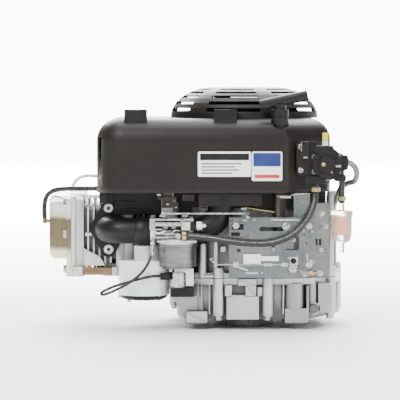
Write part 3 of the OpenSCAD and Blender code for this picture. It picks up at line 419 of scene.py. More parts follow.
def spline(points, steps):
    """Catmull-Rom curve through the points."""
    pts = [Vector(p) for p in points]
    out = []
    for i in range(len(pts) - 1):
        a, b = pts[max(i - 1, 0)], pts[i]
        c, d = pts[i + 1], pts[min(i + 2, len(pts) - 1)]
        for k in range(steps):
            t = k / steps
            out.append(0.5 * (2 * b + (c - a) * t + (2 * a - 5 * b + 4 * c - d) * t * t
                + (3 * b - a - 3 * c + d) * t ** 3))
    return out + [pts[-1]]


def sweep_part(points, radius, steps=8, sides=20, ends=True):
    """A round tube along a curve, its rings turned as little as possible; radius may be a function."""
    path = spline(points, steps) if steps > 1 else [Vector(p) for p in points]
    tangents = [(path[min(i + 1, len(path) - 1)] - path[max(i - 1,
        0)]).normalized() for i in range(len(path))]
    side = tangents[0].orthogonal().normalized()
    verts, faces = [], []
    for i, (point, tangent) in enumerate(zip(path, tangents)):
        side = (side - tangent * side.dot(tangent)).normalized()
        other = tangent.cross(side)
        r = radius(i / (len(path) - 1)) if callable(radius) else radius
        for k in range(sides):
            angle = 2 * math.pi * k / sides
            verts.append(point + r * (math.cos(angle) * side + math.sin(angle) * other))
    for i in range(len(path) - 1):
        for k in range(sides):
            j = (k + 1) % sides
            faces.append((i * sides + k, i * sides + j, (i + 1) * sides + j, (i + 1) * sides + k))
    if ends:
        faces.append(tuple(reversed(range(sides))))
        faces.append(tuple((len(path) - 1) * sides + k for k in range(sides)))
    return verts, faces


def round_corners(points, radii, steps=8):
    """Convex outline with each corner rounded by its own radius."""
    out = []
    count = len(points)
    for i in range(count):
        a, b, c = (Vector(points[(i + k) % count]) for k in (-1, 0, 1))
        u, w = (a - b).normalized(), (c - b).normalized()
        half = u.angle(w) / 2
        r = radii[i] if isinstance(radii, (list, tuple)) else radii
        centre = b + (u + w).normalized() * r / math.sin(half)
        start, end = b + u * r / math.tan(half) - centre, b + w * r / math.tan(half) - centre
        a0, a1 = math.atan2(start.y, start.x), math.atan2(end.y, end.x)
        turn = (a1 - a0 + 3 * math.pi) % (2 * math.pi) - math.pi
        out += [centre + r * Vector((math.cos(a0 + turn * k / steps), math.sin(a0 + turn * k / steps)))
            for k in range(steps + 1)]
    return out


def inset(points, distance):
    out = []
    count = len(points)
    for i in range(count):
        a, b, c = (Vector(points[(i + k) % count]) for k in (-1, 0, 1))
        u, w = (a - b).normalized(), (c - b).normalized()
        out.append(b + (u + w).normalized() * distance / math.sin(u.angle(w) / 2))
    return out


def loops_part(loops, cap_first=False, cap_last=False):
    """Skins equal-length closed loops of points, one after the other."""
    count = len(loops[0])
    verts = [p for loop in loops for p in loop]
    faces = []
    for i in range(len(loops) - 1):
        for k in range(count):
            j = (k + 1) % count
            faces.append((i * count + k, i * count + j, (i + 1) * count + j, (i + 1) * count + k))
    if cap_first:
        faces.append(tuple(reversed(range(count))))
    if cap_last:
        faces.append(tuple((len(loops) - 1) * count + k for k in range(count)))
    return verts, faces


def plate_part(outline, low, high, axis="y"):
    """A flat plate: outline in the plane across the axis, from low to high along it."""
    place = {"y": lambda p, h: Vector((p[0], h, p[1])), "x": lambda p, h: Vector((h, p[0], p[1])),
        "z": lambda p, h: Vector((p[0], p[1], h))}[axis]
    return loops_part([[place(p, low) for p in outline], [place(p, high) for p in outline]], True, True)


def rect(x0, y0, x1, y1):
    return [(x0, y0), (x1, y0), (x1, y1), (x0, y1)]


def spring_part(start, end, radius, wire, turns):
    """A coil spring between two points, with short straight hooks at its ends."""
    start, end = Vector(start), Vector(end)
    along = (end - start).normalized()
    side = along.orthogonal().normalized()
    other = along.cross(side)
    steps = turns * 12
    coil = [start + (end - start) * (0.12 + 0.76 * i / steps)
        + radius * (math.cos(i * math.pi / 6) * side + math.sin(i * math.pi / 6) * other)
        for i in range(steps + 1)]
    return sweep_part([start] + coil + [end], wire, 1, 8)


def screw_part(centre, axis, radius, height, towards=-1):
    """A round screw head with a flange, its top rounded, facing along the axis in the given direction."""
    profile = [(radius * 1.25, 0), (radius * 1.25, 0.25 * height), (radius, 0.35 * height),
        (radius * 0.95, 0.85 * height), (radius * 0.8, height), (radius * 0.45, height),
        (radius * 0.4, 0.55 * height), (0.01, 0.55 * height)]
    return lathe_part([(r, towards * h) for r, h in profile], centre, axis, 28)


# ---------------------------------------------------------------- the housing

HOUSING_PLAN = [(-217, -140), (61, -140), (126, -75), (126, 85), (70, 140), (-217, 140)]
HOUSING_CORNER = [42, 10, 30, 30, 30, 42]
HOUSING_TOP = 303
HOUSING_BOTTOM = 195
HOUSING_EDGE = 33
HOUSING_WALL = 2.5
INLET_R = 104


def housing_loop(inset_by, z):
    radii = [max(r - inset_by, 5) for r in HOUSING_CORNER]
    return [Vector((p.x, p.y, z)) for p in round_corners(inset(HOUSING_PLAN, inset_by), radii, 12)]


def ring_toward(loop, radius, z):
    """The loop's points moved radially onto a circle round the crank axis."""
    return [Vector((radius * p.x, radius * p.y, 0)) / math.hypot(p.x, p.y) + Vector((0, 0, z)) for p in loop]


def blower_housing():
    """The black shell with its rounded top edge, air inlet collar and vertical slot."""
    loops = [housing_loop(0.6, HOUSING_BOTTOM), housing_loop(0, HOUSING_BOTTOM + 0.8)]
    loops += [housing_loop(0, z) for z in (202, 203, 236, 269)]
    for k in range(11):
        angle = math.radians(9 * k)
        loops.append(housing_loop(HOUSING_EDGE * (1 - math.cos(angle)),
            HOUSING_TOP - HOUSING_EDGE * (1 - math.sin(angle))))
    flat = loops[-1]
    loops.append([p.lerp(q, 0.5) for p, q in zip(flat, ring_toward(flat, INLET_R + 1, HOUSING_TOP))])
    loops.append(ring_toward(flat, INLET_R + 1, HOUSING_TOP))
    loops.append(ring_toward(flat, INLET_R, HOUSING_TOP - 0.6))
    loops.append(ring_toward(flat, INLET_R, HOUSING_TOP - HOUSING_WALL))
    for k in range(10, -1, -1):
        angle = math.radians(9 * k)
        edge = HOUSING_EDGE - HOUSING_WALL
        loops.append(housing_loop(HOUSING_WALL + edge * (1 - math.cos(angle)),
            HOUSING_TOP - HOUSING_WALL - edge * (1 - math.sin(angle))))
    loops.append(housing_loop(HOUSING_WALL, HOUSING_BOTTOM + 0.8))
    loops.append(housing_loop(HOUSING_WALL - 0.6, HOUSING_BOTTOM))
    loops.append(loops[0])
    verts, faces = loops_part(loops)
    mesh = mesh_from("housing_shell", verts, faces)
    clean = bmesh.new()
    clean.from_mesh(mesh)
    bmesh.ops.remove_doubles(clean, verts=clean.verts, dist=0.01)
    bmesh.ops.recalc_face_normals(clean, faces=clean.faces)
    clean.to_mesh(mesh)
    clean.free()
    shell = add_object("housing_shell", mesh, "housing", sharp=50)
    cutters = [("slot_cutter", box_part((-214.5, -135, 215), (-209, -100, 275))),
        ("filler_cutter", lathe_part([(13, 265), (13, 320)], (50, -122, 0), "z", 32))]
    for name, part in cutters:
        cut = mesh_from(name, *part)
        cut.transform(Matrix.Scale(MM, 4))
        cutter = bpy.data.objects.new(name, cut)
        bpy.context.scene.collection.objects.link(cutter)
        mod = shell.modifiers.new(name, "BOOLEAN")
        mod.object = cutter
        mod.solver = "EXACT"
        with bpy.context.temp_override(object=shell, active_object=shell):
            bpy.ops.object.modifier_apply(modifier=name)
        bpy.data.objects.remove(cutter)
    shell.data.set_sharp_from_angle(angle=math.radians(50))
    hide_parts("blower_housing")
    leg = mesh_from("housing_leg", *merge(
        plate_part(round_corners(rect(-213, 180, -202, 198), 1.5, 3), -112, -104),
        plate_part(round_corners(rect(-211, 184, -204, 198), 1.0, 3), -104, -90)))
    add_object("housing_leg", leg, "housing", bevel=0.5)


def labels():
    """Plain stickers with generic bars only."""
    front = -140.25
    white = mesh_from("white_label", *plate_part(round_corners(rect(-69, 219, 8, 255.5), 2.5, 5), front,
        front + 0.35))
    add_object("white_label", white, "label_white")
    bars = [plate_part(rect(-66, 243, 5, 252.5), front - 0.12, front + 0.1)]
    bars += [plate_part(rect(-64, z, -20 + width, z + 1.6), front - 0.12, front + 0.1)
        for z, width in ((237, 14), (232.5, 4), (228, 10), (223.5, 0))]
    add_object("label_bars", mesh_from("label_bars", *merge(*bars)), "black")
    badge = mesh_from("badge_white", *plate_part(round_corners(rect(9, 213, 53, 255.5), 2.5, 5), front,
        front + 0.35))
    add_object("badge_white", badge, "label_white")
    field = mesh_from("badge_blue", *plate_part(round_corners(rect(11, 234, 51, 253.5), 1.5, 5),
        front - 0.12, front))
    add_object("badge_blue", field, "label_blue")
    band = mesh_from("badge_red", *plate_part(round_corners(rect(13, 217, 49, 222), 1.5, 5),
        front - 0.12, front))
    add_object("badge_red", band, "label_red")
    side = math.radians(45)
    for name, low, finish in (("side_label_top", 0, "label_yellow"), ("side_label_low", -12, "label_white")):
        small = mesh_from(name, *plate_part(round_corners(rect(-6, low, 6, low + 11.6), 1, 3), -0.35, 0))
        small.transform(Matrix.Translation((117.6, -83.9, 270)) @ Matrix.Rotation(side, 4, "Z"))
        add_object(name, small, finish)


# ---------------------------------------------------------------- hoses

HOSES = {
    "fuel_line": ("braid", "black_rubber", 4.8, [
        (-93.6, -142.2, 133), (-81, -142.2, 133.2), (-51, -146, 130.5), (-23, -147, 126), (4, -147, 123),
        (31, -147, 123), (55, -147, 129), (73, -147, 140), (88, -146, 157), (96, -143.5, 173),
        (100, -138, 186), (101, -132.5, 196), (101, -130.3, 202), (101, -130, 206)]),
    "filter_hose": ("rubber", "black_rubber", 4.6, [
        (140, -127, 215.9), (140, -126.6, 206), (140, -125.4, 194), (140, -125, 186), (140, -125, 180.1)]),
    "pulse_hose": ("grey_rubber", "grey_rubber", 4.2, [
        (143, -128, 240), (151, -128, 239), (159, -126, 232), (162, -122, 222), (159, -115, 212),
        (150, -100, 208), (141, -80, 200), (136, -70, 186), (131, -60, 172)]),
    "breather_hose": ("rubber", "black_rubber", 3.6, [
        (-217.4, -60, 199), (-226, -59.5, 198.6), (-240, -46, 198), (-262, -26, 197), (-282, -14, 194.5),
        (-294, -8, 187), (-298.4, -6, 176), (-299, -6, 164), (-298.6, -6, 152.1)]),
    "ignition_lead": ("sleeve", "lead_sleeve", 2.4, [
        (-231.2, 64.6, 129), (-241.5, 78.8, 129.5), (-251.5, 95.5, 131.5), (-261.5, 105.5, 138.5),
        (-267, 107, 150), (-268, 105, 172), (-262, 100, 195), (-252, 90, 208), (-238, 70, 213),
        (-226, 60.5, 213), (-217.4, 60, 213)]),
    "solenoid_lead": ("rubber", "black_rubber", 2.0, [
        (-134, -128, 113), (-137, -137, 103), (-147, -141, 84), (-166, -143, 67), (-190, -143, 54),
        (-204, -143, 48.5), (-209, -143, 49), (-206, -143, 53), (-188, -142, 61), (-160, -141, 69),
        (-138, -138, 74), (-122, -129, 74), (-112, -121, 72)]),
}


def hoses():
    """Each hose and lead as one smooth tube along the same route as its CAD solid."""
    for node, (finish, slot_name, radius, route) in HOSES.items():
        mesh = mesh_from(node + "_tube", *sweep_part(route, radius, 10, 24))
        tube = add_object(node + "_tube", mesh, finish, sharp=60)
        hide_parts(node)
    printed = [(x, y - 4.3, z + 1.5) for x, y, z in HOSES["fuel_line"][3][1:-3]]
    stripe = mesh_from("fuel_line_print", *sweep_part(printed, 0.6, 10, 10))
    add_object("fuel_line_print", stripe, "print", sharp=60)


# ---------------------------------------------------------------- small pieces

def assembly(name, finish, slot_name, *parts, body=ENGINE, bevel=0.0, sharp=35):
    """Several solids as one piece."""
    piece = add_object(name, mesh_from(name, *merge(*parts)), finish, body, bevel, sharp=sharp)
    return piece


def panel(x0, z0, x1, z1, y0, y1, corner=0.8):
    """A rounded rectangle facing the front, from z0 to z1 and from y0 (front) to y1 (back)."""
    return plate_part(round_corners(rect(x0, z0, x1, z1), corner, 3), y0, y1)


def rod_part(start, end, radius, sides=20):
    return sweep_part([start, end], radius, 1, sides)


CARB_FRONT = -133.8
CARB_Y = -115
CARB_Z = 139.5
PORT_X = -201
PORT_FACE = -54.2


def carburettor_details():
    """Linkage frame, its nut and levers in front of the carburettor, and the solenoid's bracket."""
    y = CARB_FRONT
    assembly("linkage_frame", "bolt", "bolt_steel",
        panel(-139, 141.5, -131, 158, y - 5, y - 1), panel(-132, 155.4, -75, 158, y - 5, y - 2.4),
        panel(-131, 147.4, -92.6, 152.7, y - 8, y - 3.5), panel(-132, 141.5, -119, 143.6, y - 5, y - 2.4),
        panel(-94, 150, -90, 158, y - 5, y - 2.4), bevel=0.4)
    assembly("linkage_cable", "machined", "bolt_steel",
        lathe_part([(0.9, -131), (0.9, -92)], (0, y - 9.2, 150), "x", 12),
        sweep_part([(-131, y - 4, 139), (-126, y - 6, 137), (-120, y - 7, 138.5),
            (-116, y - 6, 141)], 1.6, 6, 12),
        sweep_part([(-107, y - 4, 137), (-104, y - 6, 140), (-100, y - 6, 141.5), (-96, y - 5, 140),
            (-93, y - 3, 136)], 1.3, 6, 12))
    assembly("linkage_block", "carb", "carb_alloy", panel(-92.6, 141.5, -80.4, 153.6, y - 9, y, 1.0),
        lathe_part([(1.9, 0), (1.9, -2), (0.01, -2)], (-90, y - 9, 151), "y", 12), bevel=0.5)
    assembly("linkage_stop", "black", "black_plastic", panel(-79.6, 141.2, -71.2, 153.8, y - 8, y - 1,
        1.2), bevel=0.5)
    assembly("linkage_nut", "nylon", "white_nylon",
        lathe_part([(3.4, -71.4), (6.4, -70.6), (6.4, -66.6), (5.6, -65.6), (6.2, -64.8),
            (6.2, -63.4), (4, -62.8),
            (2.8, -62.6), (2.8, -59.6), (1.6, -57.4), (0.01, -57.4)], (0, y - 4.5, 147.6), "x", 6), bevel=0.4)
    assembly("idle_post", "machined", "bolt_steel",
        lathe_part([(0.01, 104), (1.4, 104), (1.4, 107), (2.4, 107.6), (2.4, 110), (1.4, 111), (1.4, 120),
            (3, 121), (3.4, 124), (3, 126.6), (1.2, 127.4), (0.01, 127.4)], (-135, -139, 0), "z", 20))
    assembly("carb_screws", "bolt", "bolt_steel",
        *[screw_part((x, y, z), "y", 2.6, 2.2) for x, z in ((-114, 131), (-84.5, 131), (-116, 146),
            (-104, 146))],
        *[screw_part((x, y - 0.5, 123.5), "y", 2.4, 2.0) for x in (-112, -86)])
    assembly("carb_ribs", "carb", "carb_alloy", panel(-130, 134.6, -94, 137, y - 3, y + 1),
        panel(-130, 129.5, -96, 132, y - 2.4, y + 1), panel(-128, 124, -70.5, 126.4, -143.6, -140.5),
        bevel=0.4)
    assembly("solenoid_bracket", "nylon", "bolt_steel",
        plate_part([(-103, 79.6), (-88.6, 79.6), (-86.6, 77.6), (-86.6, 59.4), (-75.4, 59.4), (-75.4, 84.6),
            (-103, 84.6)], -123.4, -121.6), bevel=0.4)
    assembly("solenoid_bands", "bolt", "bolt_steel",
        lathe_part([(12.3, 75.4), (13.1, 75.8), (13.1, 77.4), (12.3, 77.8)], (-99, -115, 0), "z", 48),
        lathe_part([(12.3, 57.2), (12.9, 57.6), (12.9, 58.8), (12.3, 59.2)], (-99, -115, 0), "z", 48))
    assembly("terminal_blocks", "black", "black_plastic", panel(-124, 68.4, -110.2, 78.6, -129, -118, 1.0),
        panel(-109.4, 43.6, -75.6, 56.8, -129.5, -107, 1.6), bevel=0.8)
    assembly("terminal_steps", "black", "black_plastic", panel(-101, 45.6, -84, 54.6, -131, -128, 1.2),
        panel(-121.5, 71, -113, 76, -130.4, -128, 0.8), bevel=0.4)


def starter_details():
    """Rounded can and end cap, seam strip and corner plate of the starter."""
    x, y = MOTOR
    assembly("starter_can", "starter", "starter_paint",
        lathe_part([(31, 44.6), (33.6, 45.4), (35.6, 47.6), (36.8, 51), (37.4, 56), (37.6, 62), (37.6, 92.2),
            (37.2, 94.4), (36, 95.8), (34, 96.3), (20, 96.3)], (x, y, 0), "z", 96))
    cap = assembly("starter_cap_skin", "black", "black_plastic",
        lathe_part([(0.01, 37.2), (20, 37.2), (27, 37.9), (31.6, 39.8), (34.2, 42.2), (35, 44.6), (31, 46)],
            (x, y, 0), "z", 96))
    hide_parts("starter_end_cap")
    assembly("starter_corner", "starter", "starter_paint",
        panel(-186.4, 40, -167, 54, -97, -92, 1.0), bevel=0.6)
    assembly("starter_seam", "starter", "starter_paint", panel(-125.2, 44, -123.9, 68, -125.4, -121,
        0.5), bevel=0.2)
    assembly("starter_bolts", "bolt", "bolt_steel",
        *[lathe_part([(2.6, 34.6), (2.6, 38), (0.01, 38)],
            (x + 26 * math.cos(a), y + 26 * math.sin(a), 0), "z", 6)
            for a in (0.6, 0.6 + math.pi)])


MOTOR = (-148.1, -95.1)


def plate_details():
    """Screws, beads, slots, rods, levers, clamp and springs on the zinc control plate."""
    y = -136.0
    assembly("plate_screws", "bolt", "bolt_steel",
        *[screw_part((x, y, z), "y", r, 2.6) for x, z, r in
            ((59, 146.6, 4.6), (110.7, 165.6, 3.2), (117, 146.6, 2.6), (109.8, 112.3, 2.6), (96, 95, 2.8),
                (108, 79, 3.8), (40, 114, 2.4), (70.2, 127, 2.2), (81, 130, 1.6), (3, 160, 2.0))])
    assembly("plate_beads", "blue_zinc", "zinc_sheet",
        *[panel(*b, y - 0.9, y + 0.2, 0.4) for b in
            ((37.5, 152.6, 80, 154.4), (37.5, 157.2, 80, 159.4), (96, 104.2, 119, 105.4),
                (-24, 154.6, -4.4, 156),
                (82.4, 98, 83.8, 117), (93, 113, 94.4, 121), (76, 98, 77, 108), (90, 130, 96, 131.2),
                (-22, 130.6, 0, 132), (98.6, 110, 99.8, 119), (86, 72.6, 119, 73.8), (116, 160, 119.6, 162))],
        bevel=0.25)
    # painted shade: black patches for the shaded openings of the plate's slots and holes
    assembly("plate_slot_shade", "black", "black_plastic",
        *[panel(*b, y - 0.25, y + 0.3, 0.5) for b in
            ((101.7, 119.2, 104.6, 128.8), (106.4, 119.2, 109.8, 128.8), (-20, 142, -2, 151),
                (-21, 133, -8, 138),
                (87.4, 121, 89.6, 123.2), (92, 138, 93.6, 140), (84.8, 133.6, 86.4, 135.2),
                (77, 90, 78.6, 91.6))])
    assembly("plate_lugs", "blue_zinc", "zinc_sheet", panel(-24.5, 138.6, 0.5, 142.4, y - 3.2, y, 0.8),
        panel(-24.5, 150.6, -1, 153.4, y - 3.2, y, 0.8), panel(-3, 138.6, 0.5, 153, y - 2.4, y, 0.8),
        panel(57.3, 107.6, 74.5, 113.2, y - 7, y - 5.6, 1.0), bevel=0.35)
    assembly("speed_rod", "bolt", "bolt_steel",
        plate_part([(-42.6, 90.6), (59, 90.6), (59, 92.2), (-42.2, 92.2)], y - 0.9, y - 0.1),
        sweep_part([(-42, y - 0.9, 91.4), (-46.4, y - 0.9, 95), (-51, y - 0.9, 99.2), (-47.6, y - 0.9, 100.4),
            (-44, y - 0.9, 99)], 0.9, 6, 12))
    assembly("speed_rod_ends", "bolt", "bolt_steel", panel(27, 88.8, 38, 93.6, y - 1.4, y - 0.1, 1.2),
        panel(52, 88.4, 62, 94.4, y - 1.4, y - 0.1, 2.0), bevel=0.2)
    assembly("lower_lever", "blue_zinc", "zinc_sheet", panel(3.9, 80.4, 25.4, 86.4, y - 2.4, y - 0.6, 1.4),
        sweep_part([(-11.6, y - 1.6, 85.6), (-4, y - 1.6, 82.4), (4, y - 1.6, 81)], 1.0, 5, 12),
        panel(18, 76, 23, 81, y - 2.0, y - 0.8, 1.0), bevel=0.3)
    assembly("cable_clamp", "bolt", "zinc_sheet", panel(64, 90.6, 76, 108, y - 5, y, 1.6),
        panel(61, 99.8, 64.6, 104, y - 3.6, y, 0.8), bevel=0.5)
    # painted shade: a black disc for the shaded opening of the clamp's cable hole
    assembly("cable_hole_shade", "black", "black_plastic",
        lathe_part([(4.2, 0), (4.2, -1.0), (3.4, -1.2), (0.01, -1.2)], (69.4, y - 4.6, 97), "y", 28))
    assembly("clamp_screw", "bolt", "bolt_steel", screw_part((68.6, y - 0.4, 86.2), "y", 5.2, 4.0))
    assembly("throttle_springs", "machined", "bolt_steel",
        spring_part((75, y - 3, 86), (88, y - 3, 76.6), 2.0, 0.5, 8),
        spring_part((88, y - 2.6, 79), (106, y - 2.6, 79), 1.9, 0.5, 10),
        screw_part((86, y, 77.5), "y", 3.4, 3.0))
    assembly("brass_ferrule", "bronze", "bronze", lathe_part([(0.01, 91), (3.2, 91), (3.2, 93),
        (2.8, 94), (3.2, 95), (3.2, 98.6), (0.01, 98.6)], (0, y - 3.6, 79.4), "x", 24))
    assembly("panel_marks", "blue_zinc", "zinc_sheet",
        *[panel(*b, -129.9, -128.8, 0.4) for b in
            ((74, 181, 79, 186), (82, 176, 90, 178), (74, 168, 84, 171), (86, 182, 91, 188),
                (72, 162, 92, 163.4))],
        bevel=0.3)
    assembly("rear_post", "brown", "gasket",
        lathe_part([(3.9, 158), (3.9, 188), (3.2, 190)], (47.4, -129.6, 0), "z", 28))
    assembly("governor_spring_rod", "olive_zinc", "clamp_zinc",
        rod_part((-1, -127.6, 174), (54, -127.6, 165.4), 1.2))
    assembly("under_shroud_clips", "bolt", "bolt_steel", panel(-6.4, 170.6, 1, 173.8, -129.4, -127, 0.8),
        panel(45, 187.6, 66, 191.2, -132, -128, 0.8), panel(-64, 185.4, -58.6, 188.8, -131, -128, 0.8),
        panel(-58, 178, -47.6, 180.4, -131, -128, 0.8), bevel=0.3)
    assembly("vent_rod", "bolt", "bolt_steel", rod_part((66, -131, 192.4), (94, -131, 194.4), 0.9))


def plate_extras():
    """Beads, screws and a bent strip on the control plate, and a dark panel behind the carburettor's bars."""
    front = -136.1
    assembly("plate_beads", "bolt", "bolt_steel", panel(37, 155, 79, 157.8, front - 0.8, front, 0.4),
        panel(-18, 154.4, 2, 156.4, front - 0.8, front, 0.4),
        panel(98, 104.6, 116, 106, front - 0.8, front, 0.4),
        panel(89, 92, 90.6, 108, front - 0.8, front, 0.4),
        *[screw_part((x, front, z), "y", 1.5, 1.1) for x, z in ((13, 156), (109, 163), (97, 139), (84, 141))],
        bevel=0.2)
    assembly("bent_strip", "machined", "bolt_steel",
        plate_part([(-12, 88), (-10, 89.4), (4, 84), (25, 84), (25, 77.5), (3, 77.5)], front - 0.8,
            front), bevel=0.2)
    assembly("bar_shadow", "black", "black_plastic", panel(-131, 141, -94, 151.4, CARB_FRONT - 0.5,
        CARB_FRONT + 1, 0.8))


def under_shroud():
    """Dark baffles under the housing, their near-black colour the painted shade of the cavity and fins behind
    them, brackets under the housing, and a dark plate inside the air screen standing in for the shade of its
    interior.
    """
    # painted shade: near-black panels for the shaded cavity and fins under the housing
    assembly("shroud_baffle_painted_shade", "black", "housing_plastic", panel(-191, 161, -68, 200, -78, -75.5, 2.0),
        panel(-214, 177.6, -188, 199, -72, -69, 1.5),
        panel(-190, 176, -160, 181, -80, -77, 1.2), panel(-184, 166, -150, 170, -79.4, -77, 1.2),
        panel(14, 169, 118, 197, -103, -101, 2.0), panel(64, 180, 98, 182, -104.4, -102, 0.8), bevel=0.4)
    # painted shade: a dark plate for the shaded inside of the air screen, hiding the backdrop seen through
    # its slots
    assembly("screen_baffle_painted_shade", "black", "housing_plastic", 
        plate_part([(-84, 308), (84, 308), (79, 320), (68, 331), (-68, 331), (-79, 320)], 40, 42), bevel=0.4)
    assembly("shroud_brackets", "brown", "gasket", panel(-122, 172, -106, 193, -104, -100, 1.5),
        panel(-128, 184, -100, 189, -106, -101, 1.0), panel(-106, 166, -97, 180, -104, -100, 1.5),
        panel(-116, 175, -110, 181, -106, -103, 1.0), panel(-92, 182, -74, 192, -102, -99, 1.5), bevel=0.5)
    assembly("shroud_bits", "machined", "bolt_steel", screw_part((-113, -106, 177.7), "y", 1.8, 1.6),
        screw_part((-101, -104, 173), "y", 1.5, 1.6), panel(-128.6, 190, -123, 192.6, -107, -104,
            0.8), bevel=0.2)


def casting_details():
    """Blocks, ribs, columns and webs on the castings, and the formed intake manifold."""
    assembly("sump_blocks", "cast", "cast_alloy", panel(-29.7, 43.4, -19.4, 59.7, -112.6, -98, 1.0),
        panel(-9.9, 58.8, 16, 69, -113.4, -98, 1.0), panel(0.4, 43.4, 16, 60, -111.6, -98, 1.0),
        panel(-19, 42, -0.4, 45, -111, -98, 0.8), panel(18, 43.4, 25, 57, -111, -98, 0.8), bevel=0.8)
    assembly("sump_leg", "cast", "cast_alloy",
        plate_part([(-108, 43), (-62, 43), (-58, 4), (-84, 4)], -96, -88),
        panel(-86, 3, -55, 21, -106, -90, 2.0), panel(58, 3, 93, 25, -104, -86, 3.0), bevel=1.5)
    assembly("sump_columns", "cast", "cast_alloy", lathe_part([(16, 22), (17.5, 26), (17.5, 62)],
        (72, -88, 0), "z", 64),
        lathe_part([(9.5, 20), (10.5, 24), (10.5, 62)], (97.5, -86, 0), "z", 48),
        panel(107, 18, 126, 62, -96, -88, 2.0), bevel=0.6)
    assembly("case_post", "cast", "cast_alloy",
        lathe_part([(5.6, 84), (5.6, 189), (4.6, 194), (2, 197)], (124.5, -90, 0), "z", 28))
    assembly("sump_ribs", "cast", "cast_alloy",
        *[panel(x - 1.1, low, x + 1.1, high, front, -84, 0.6) for x, low, high, front in
            ((-69, 20, 67, -96), (-63.5, 18, 67, -99), (-52, 16, 67, -104), (56, 16, 62, -103),
                (84, 16, 60, -99.5))],
        bevel=0.5)
    assembly("case_marks", "cast", "cast_alloy", panel(-60, 71, -46, 74, -112, -100, 0.8),
        panel(48, 71, 60, 73.6, -112, -100, 0.8), panel(-45.6, 76, -40.4, 126, -110.5, -100, 1.2),
        panel(-36, 108, -28, 116, -109.4, -100, 1.0), bevel=0.6)
    assembly("head_web", "head", "head_alloy",
        plate_part([(-238, 84), (-206, 84), (-214, 98), (-238, 110)], -55.4, -48),
        panel(-252.6, 68, -239.7, 82.5, -60, -48, 1.0), panel(-256, 84, -250.4, 187, -55, -48, 1.0),
        panel(-236, 128, -226, 133, -56, -48, 1.0), panel(-237, 184, -196, 189, -55.6, -48, 1.0),
        panel(-196, 69.5, -188.6, 82.5, -60, -48, 1.0), bevel=0.8)
    assembly("head_bar", "bronze_bar", "bronze", panel(-240, 70.4, -195, 81.6, -57.6, -49, 1.0), bevel=0.6)
    # painted shade: black discs for the shaded hex sockets of the manifold screws
    assembly("socket_recess_shade", "black", "black_plastic",
        *[lathe_part([(2.7, 0), (2.7, -0.25), (0.01, -0.25)], (-201, -65, z), "y", 6) for z in (109, 170)])
    assembly("socket_rims", "bolt", "bolt_steel",
        *[lathe_part([(7.2, 0), (7.2, -1.4), (6.4, -1.6)], (-201, -60, z), "y", 36) for z in (109, 170)])
    path = [(PORT_X, PORT_FACE, CARB_Z), (PORT_X, -72, CARB_Z), (PORT_X, -90, CARB_Z),
        (-199.1, -99.6, CARB_Z),
        (-193.7, -107.7, CARB_Z), (-185.6, -113.1, CARB_Z), (-176, CARB_Y, CARB_Z), (-158, CARB_Y, CARB_Z),
        (-139.2, CARB_Y, CARB_Z)]
    flange = round_corners([(-230, CARB_Z), (-208, 181), (-194, 181), (-172, CARB_Z), (-194, 98),
        (-208, 98)], 7, 6)
    manifold = merge(sweep_part(path, 18.7, 10, 48), plate_part(flange, -60, PORT_FACE),
        lathe_part([(18.8, -160), (20.4, -158), (20.4, -140), (19.6, -139)], (0, CARB_Y, CARB_Z), "x", 64),
        panel(-156, 117.5, -139.2, 121, -123, -107, 1.0))
    tube = add_object("intake_manifold_formed", mesh_from("intake_manifold_formed", *manifold),
        "black", sharp=50)
    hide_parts("intake_manifold")


def filter_shell():
    """Milky shell with a stepped lid and a tapered foot round the pleated element."""
    profile = [(2.4, 179.8), (4, 179.4), (4, 170.4), (14.6, 170), (16.4, 168.4), (16.4, 163), (15.2, 161.6),
        (14.8, 140), (13.6, 129), (11, 124.6), (4.4, 122), (4, 108.4), (2.4, 108)]
    shell = add_object("fuel_filter_shell", mesh_from("fuel_filter_shell",
        *lathe_part(profile, (140, -125, 0), "z", 48)), "filter", sharp=40)
    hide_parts("fuel_filter")
    pleats = [(8.4 + 0.5 * (k % 2), 134 + 28 * k / 40) for k in range(41)]
    element = add_object("filter_pleats", mesh_from("filter_pleats",
        *lathe_part([(3, 134)] + pleats + [(3, 162)], (139, -125, 0), "z", 40)), "paper", sharp=40)
    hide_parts("filter_element")


def pump_details():
    """Screws, ribs and a brass plug on the fuel pump, and clips on the hoses."""
    assembly("pump_screws", "dark_steel", "dark_steel",
        *[screw_part((118 + 22 * math.cos(math.radians(a)), -135,
            237 + 22 * math.sin(math.radians(a))), "y", 2.6,
            2.2) for a in range(30, 360, 60)])
    assembly("pump_ribs", "black", "black_plastic",
        *[panel(118 - 20 + 8 * k, 224, 118 - 18.2 + 8 * k, 250, -142.4, -140,
            0.6) for k in range(6)], bevel=0.4)
    assembly("pump_plug", "bronze", "bronze", screw_part((112.5, -145, 237), "y", 2.2, 1.6))
    assembly("pump_nut", "bolt", "bolt_steel", screw_part((80, -132, 262), "y", 3.0, 2.6),
        screw_part((80, -132, 228), "y", 3.0, 2.6))
    assembly("hose_clips", "olive_zinc", "clamp_zinc",
        lathe_part([(4.4, 138.6), (5.5, 138.8), (5.5, 143.4), (4.4, 143.6)], (0, -128, 240), "x", 28),
        panel(98, 198, 104, 203, -140.4, -137.4, 1.0), bevel=0.3)
    assembly("pump_bracket", "black", "black_plastic", panel(79, 244, 92, 270, -137, -131, 2.0),
        panel(86, 208, 116, 220, -136, -129, 3.0), panel(128, 212, 146, 222, -133, -126, 3.0),
        panel(136, 228, 149, 250, -134, -124, 4.0), panel(100, 252, 128, 264, -139, -131, 4.0), bevel=1.0)
    assembly("pump_bits", "bolt", "bolt_steel", panel(80, 256, 81.4, 268, -138, -136.6, 0.5),
        panel(84, 246, 90, 247.6, -138, -136.6, 0.5), panel(130, 233, 138, 236, -142.6, -141, 0.8),
        screw_part((124, -141, 226), "y", 1.6, 1.6), bevel=0.2)


# ---------------------------------------------------------------- camera, floor, light

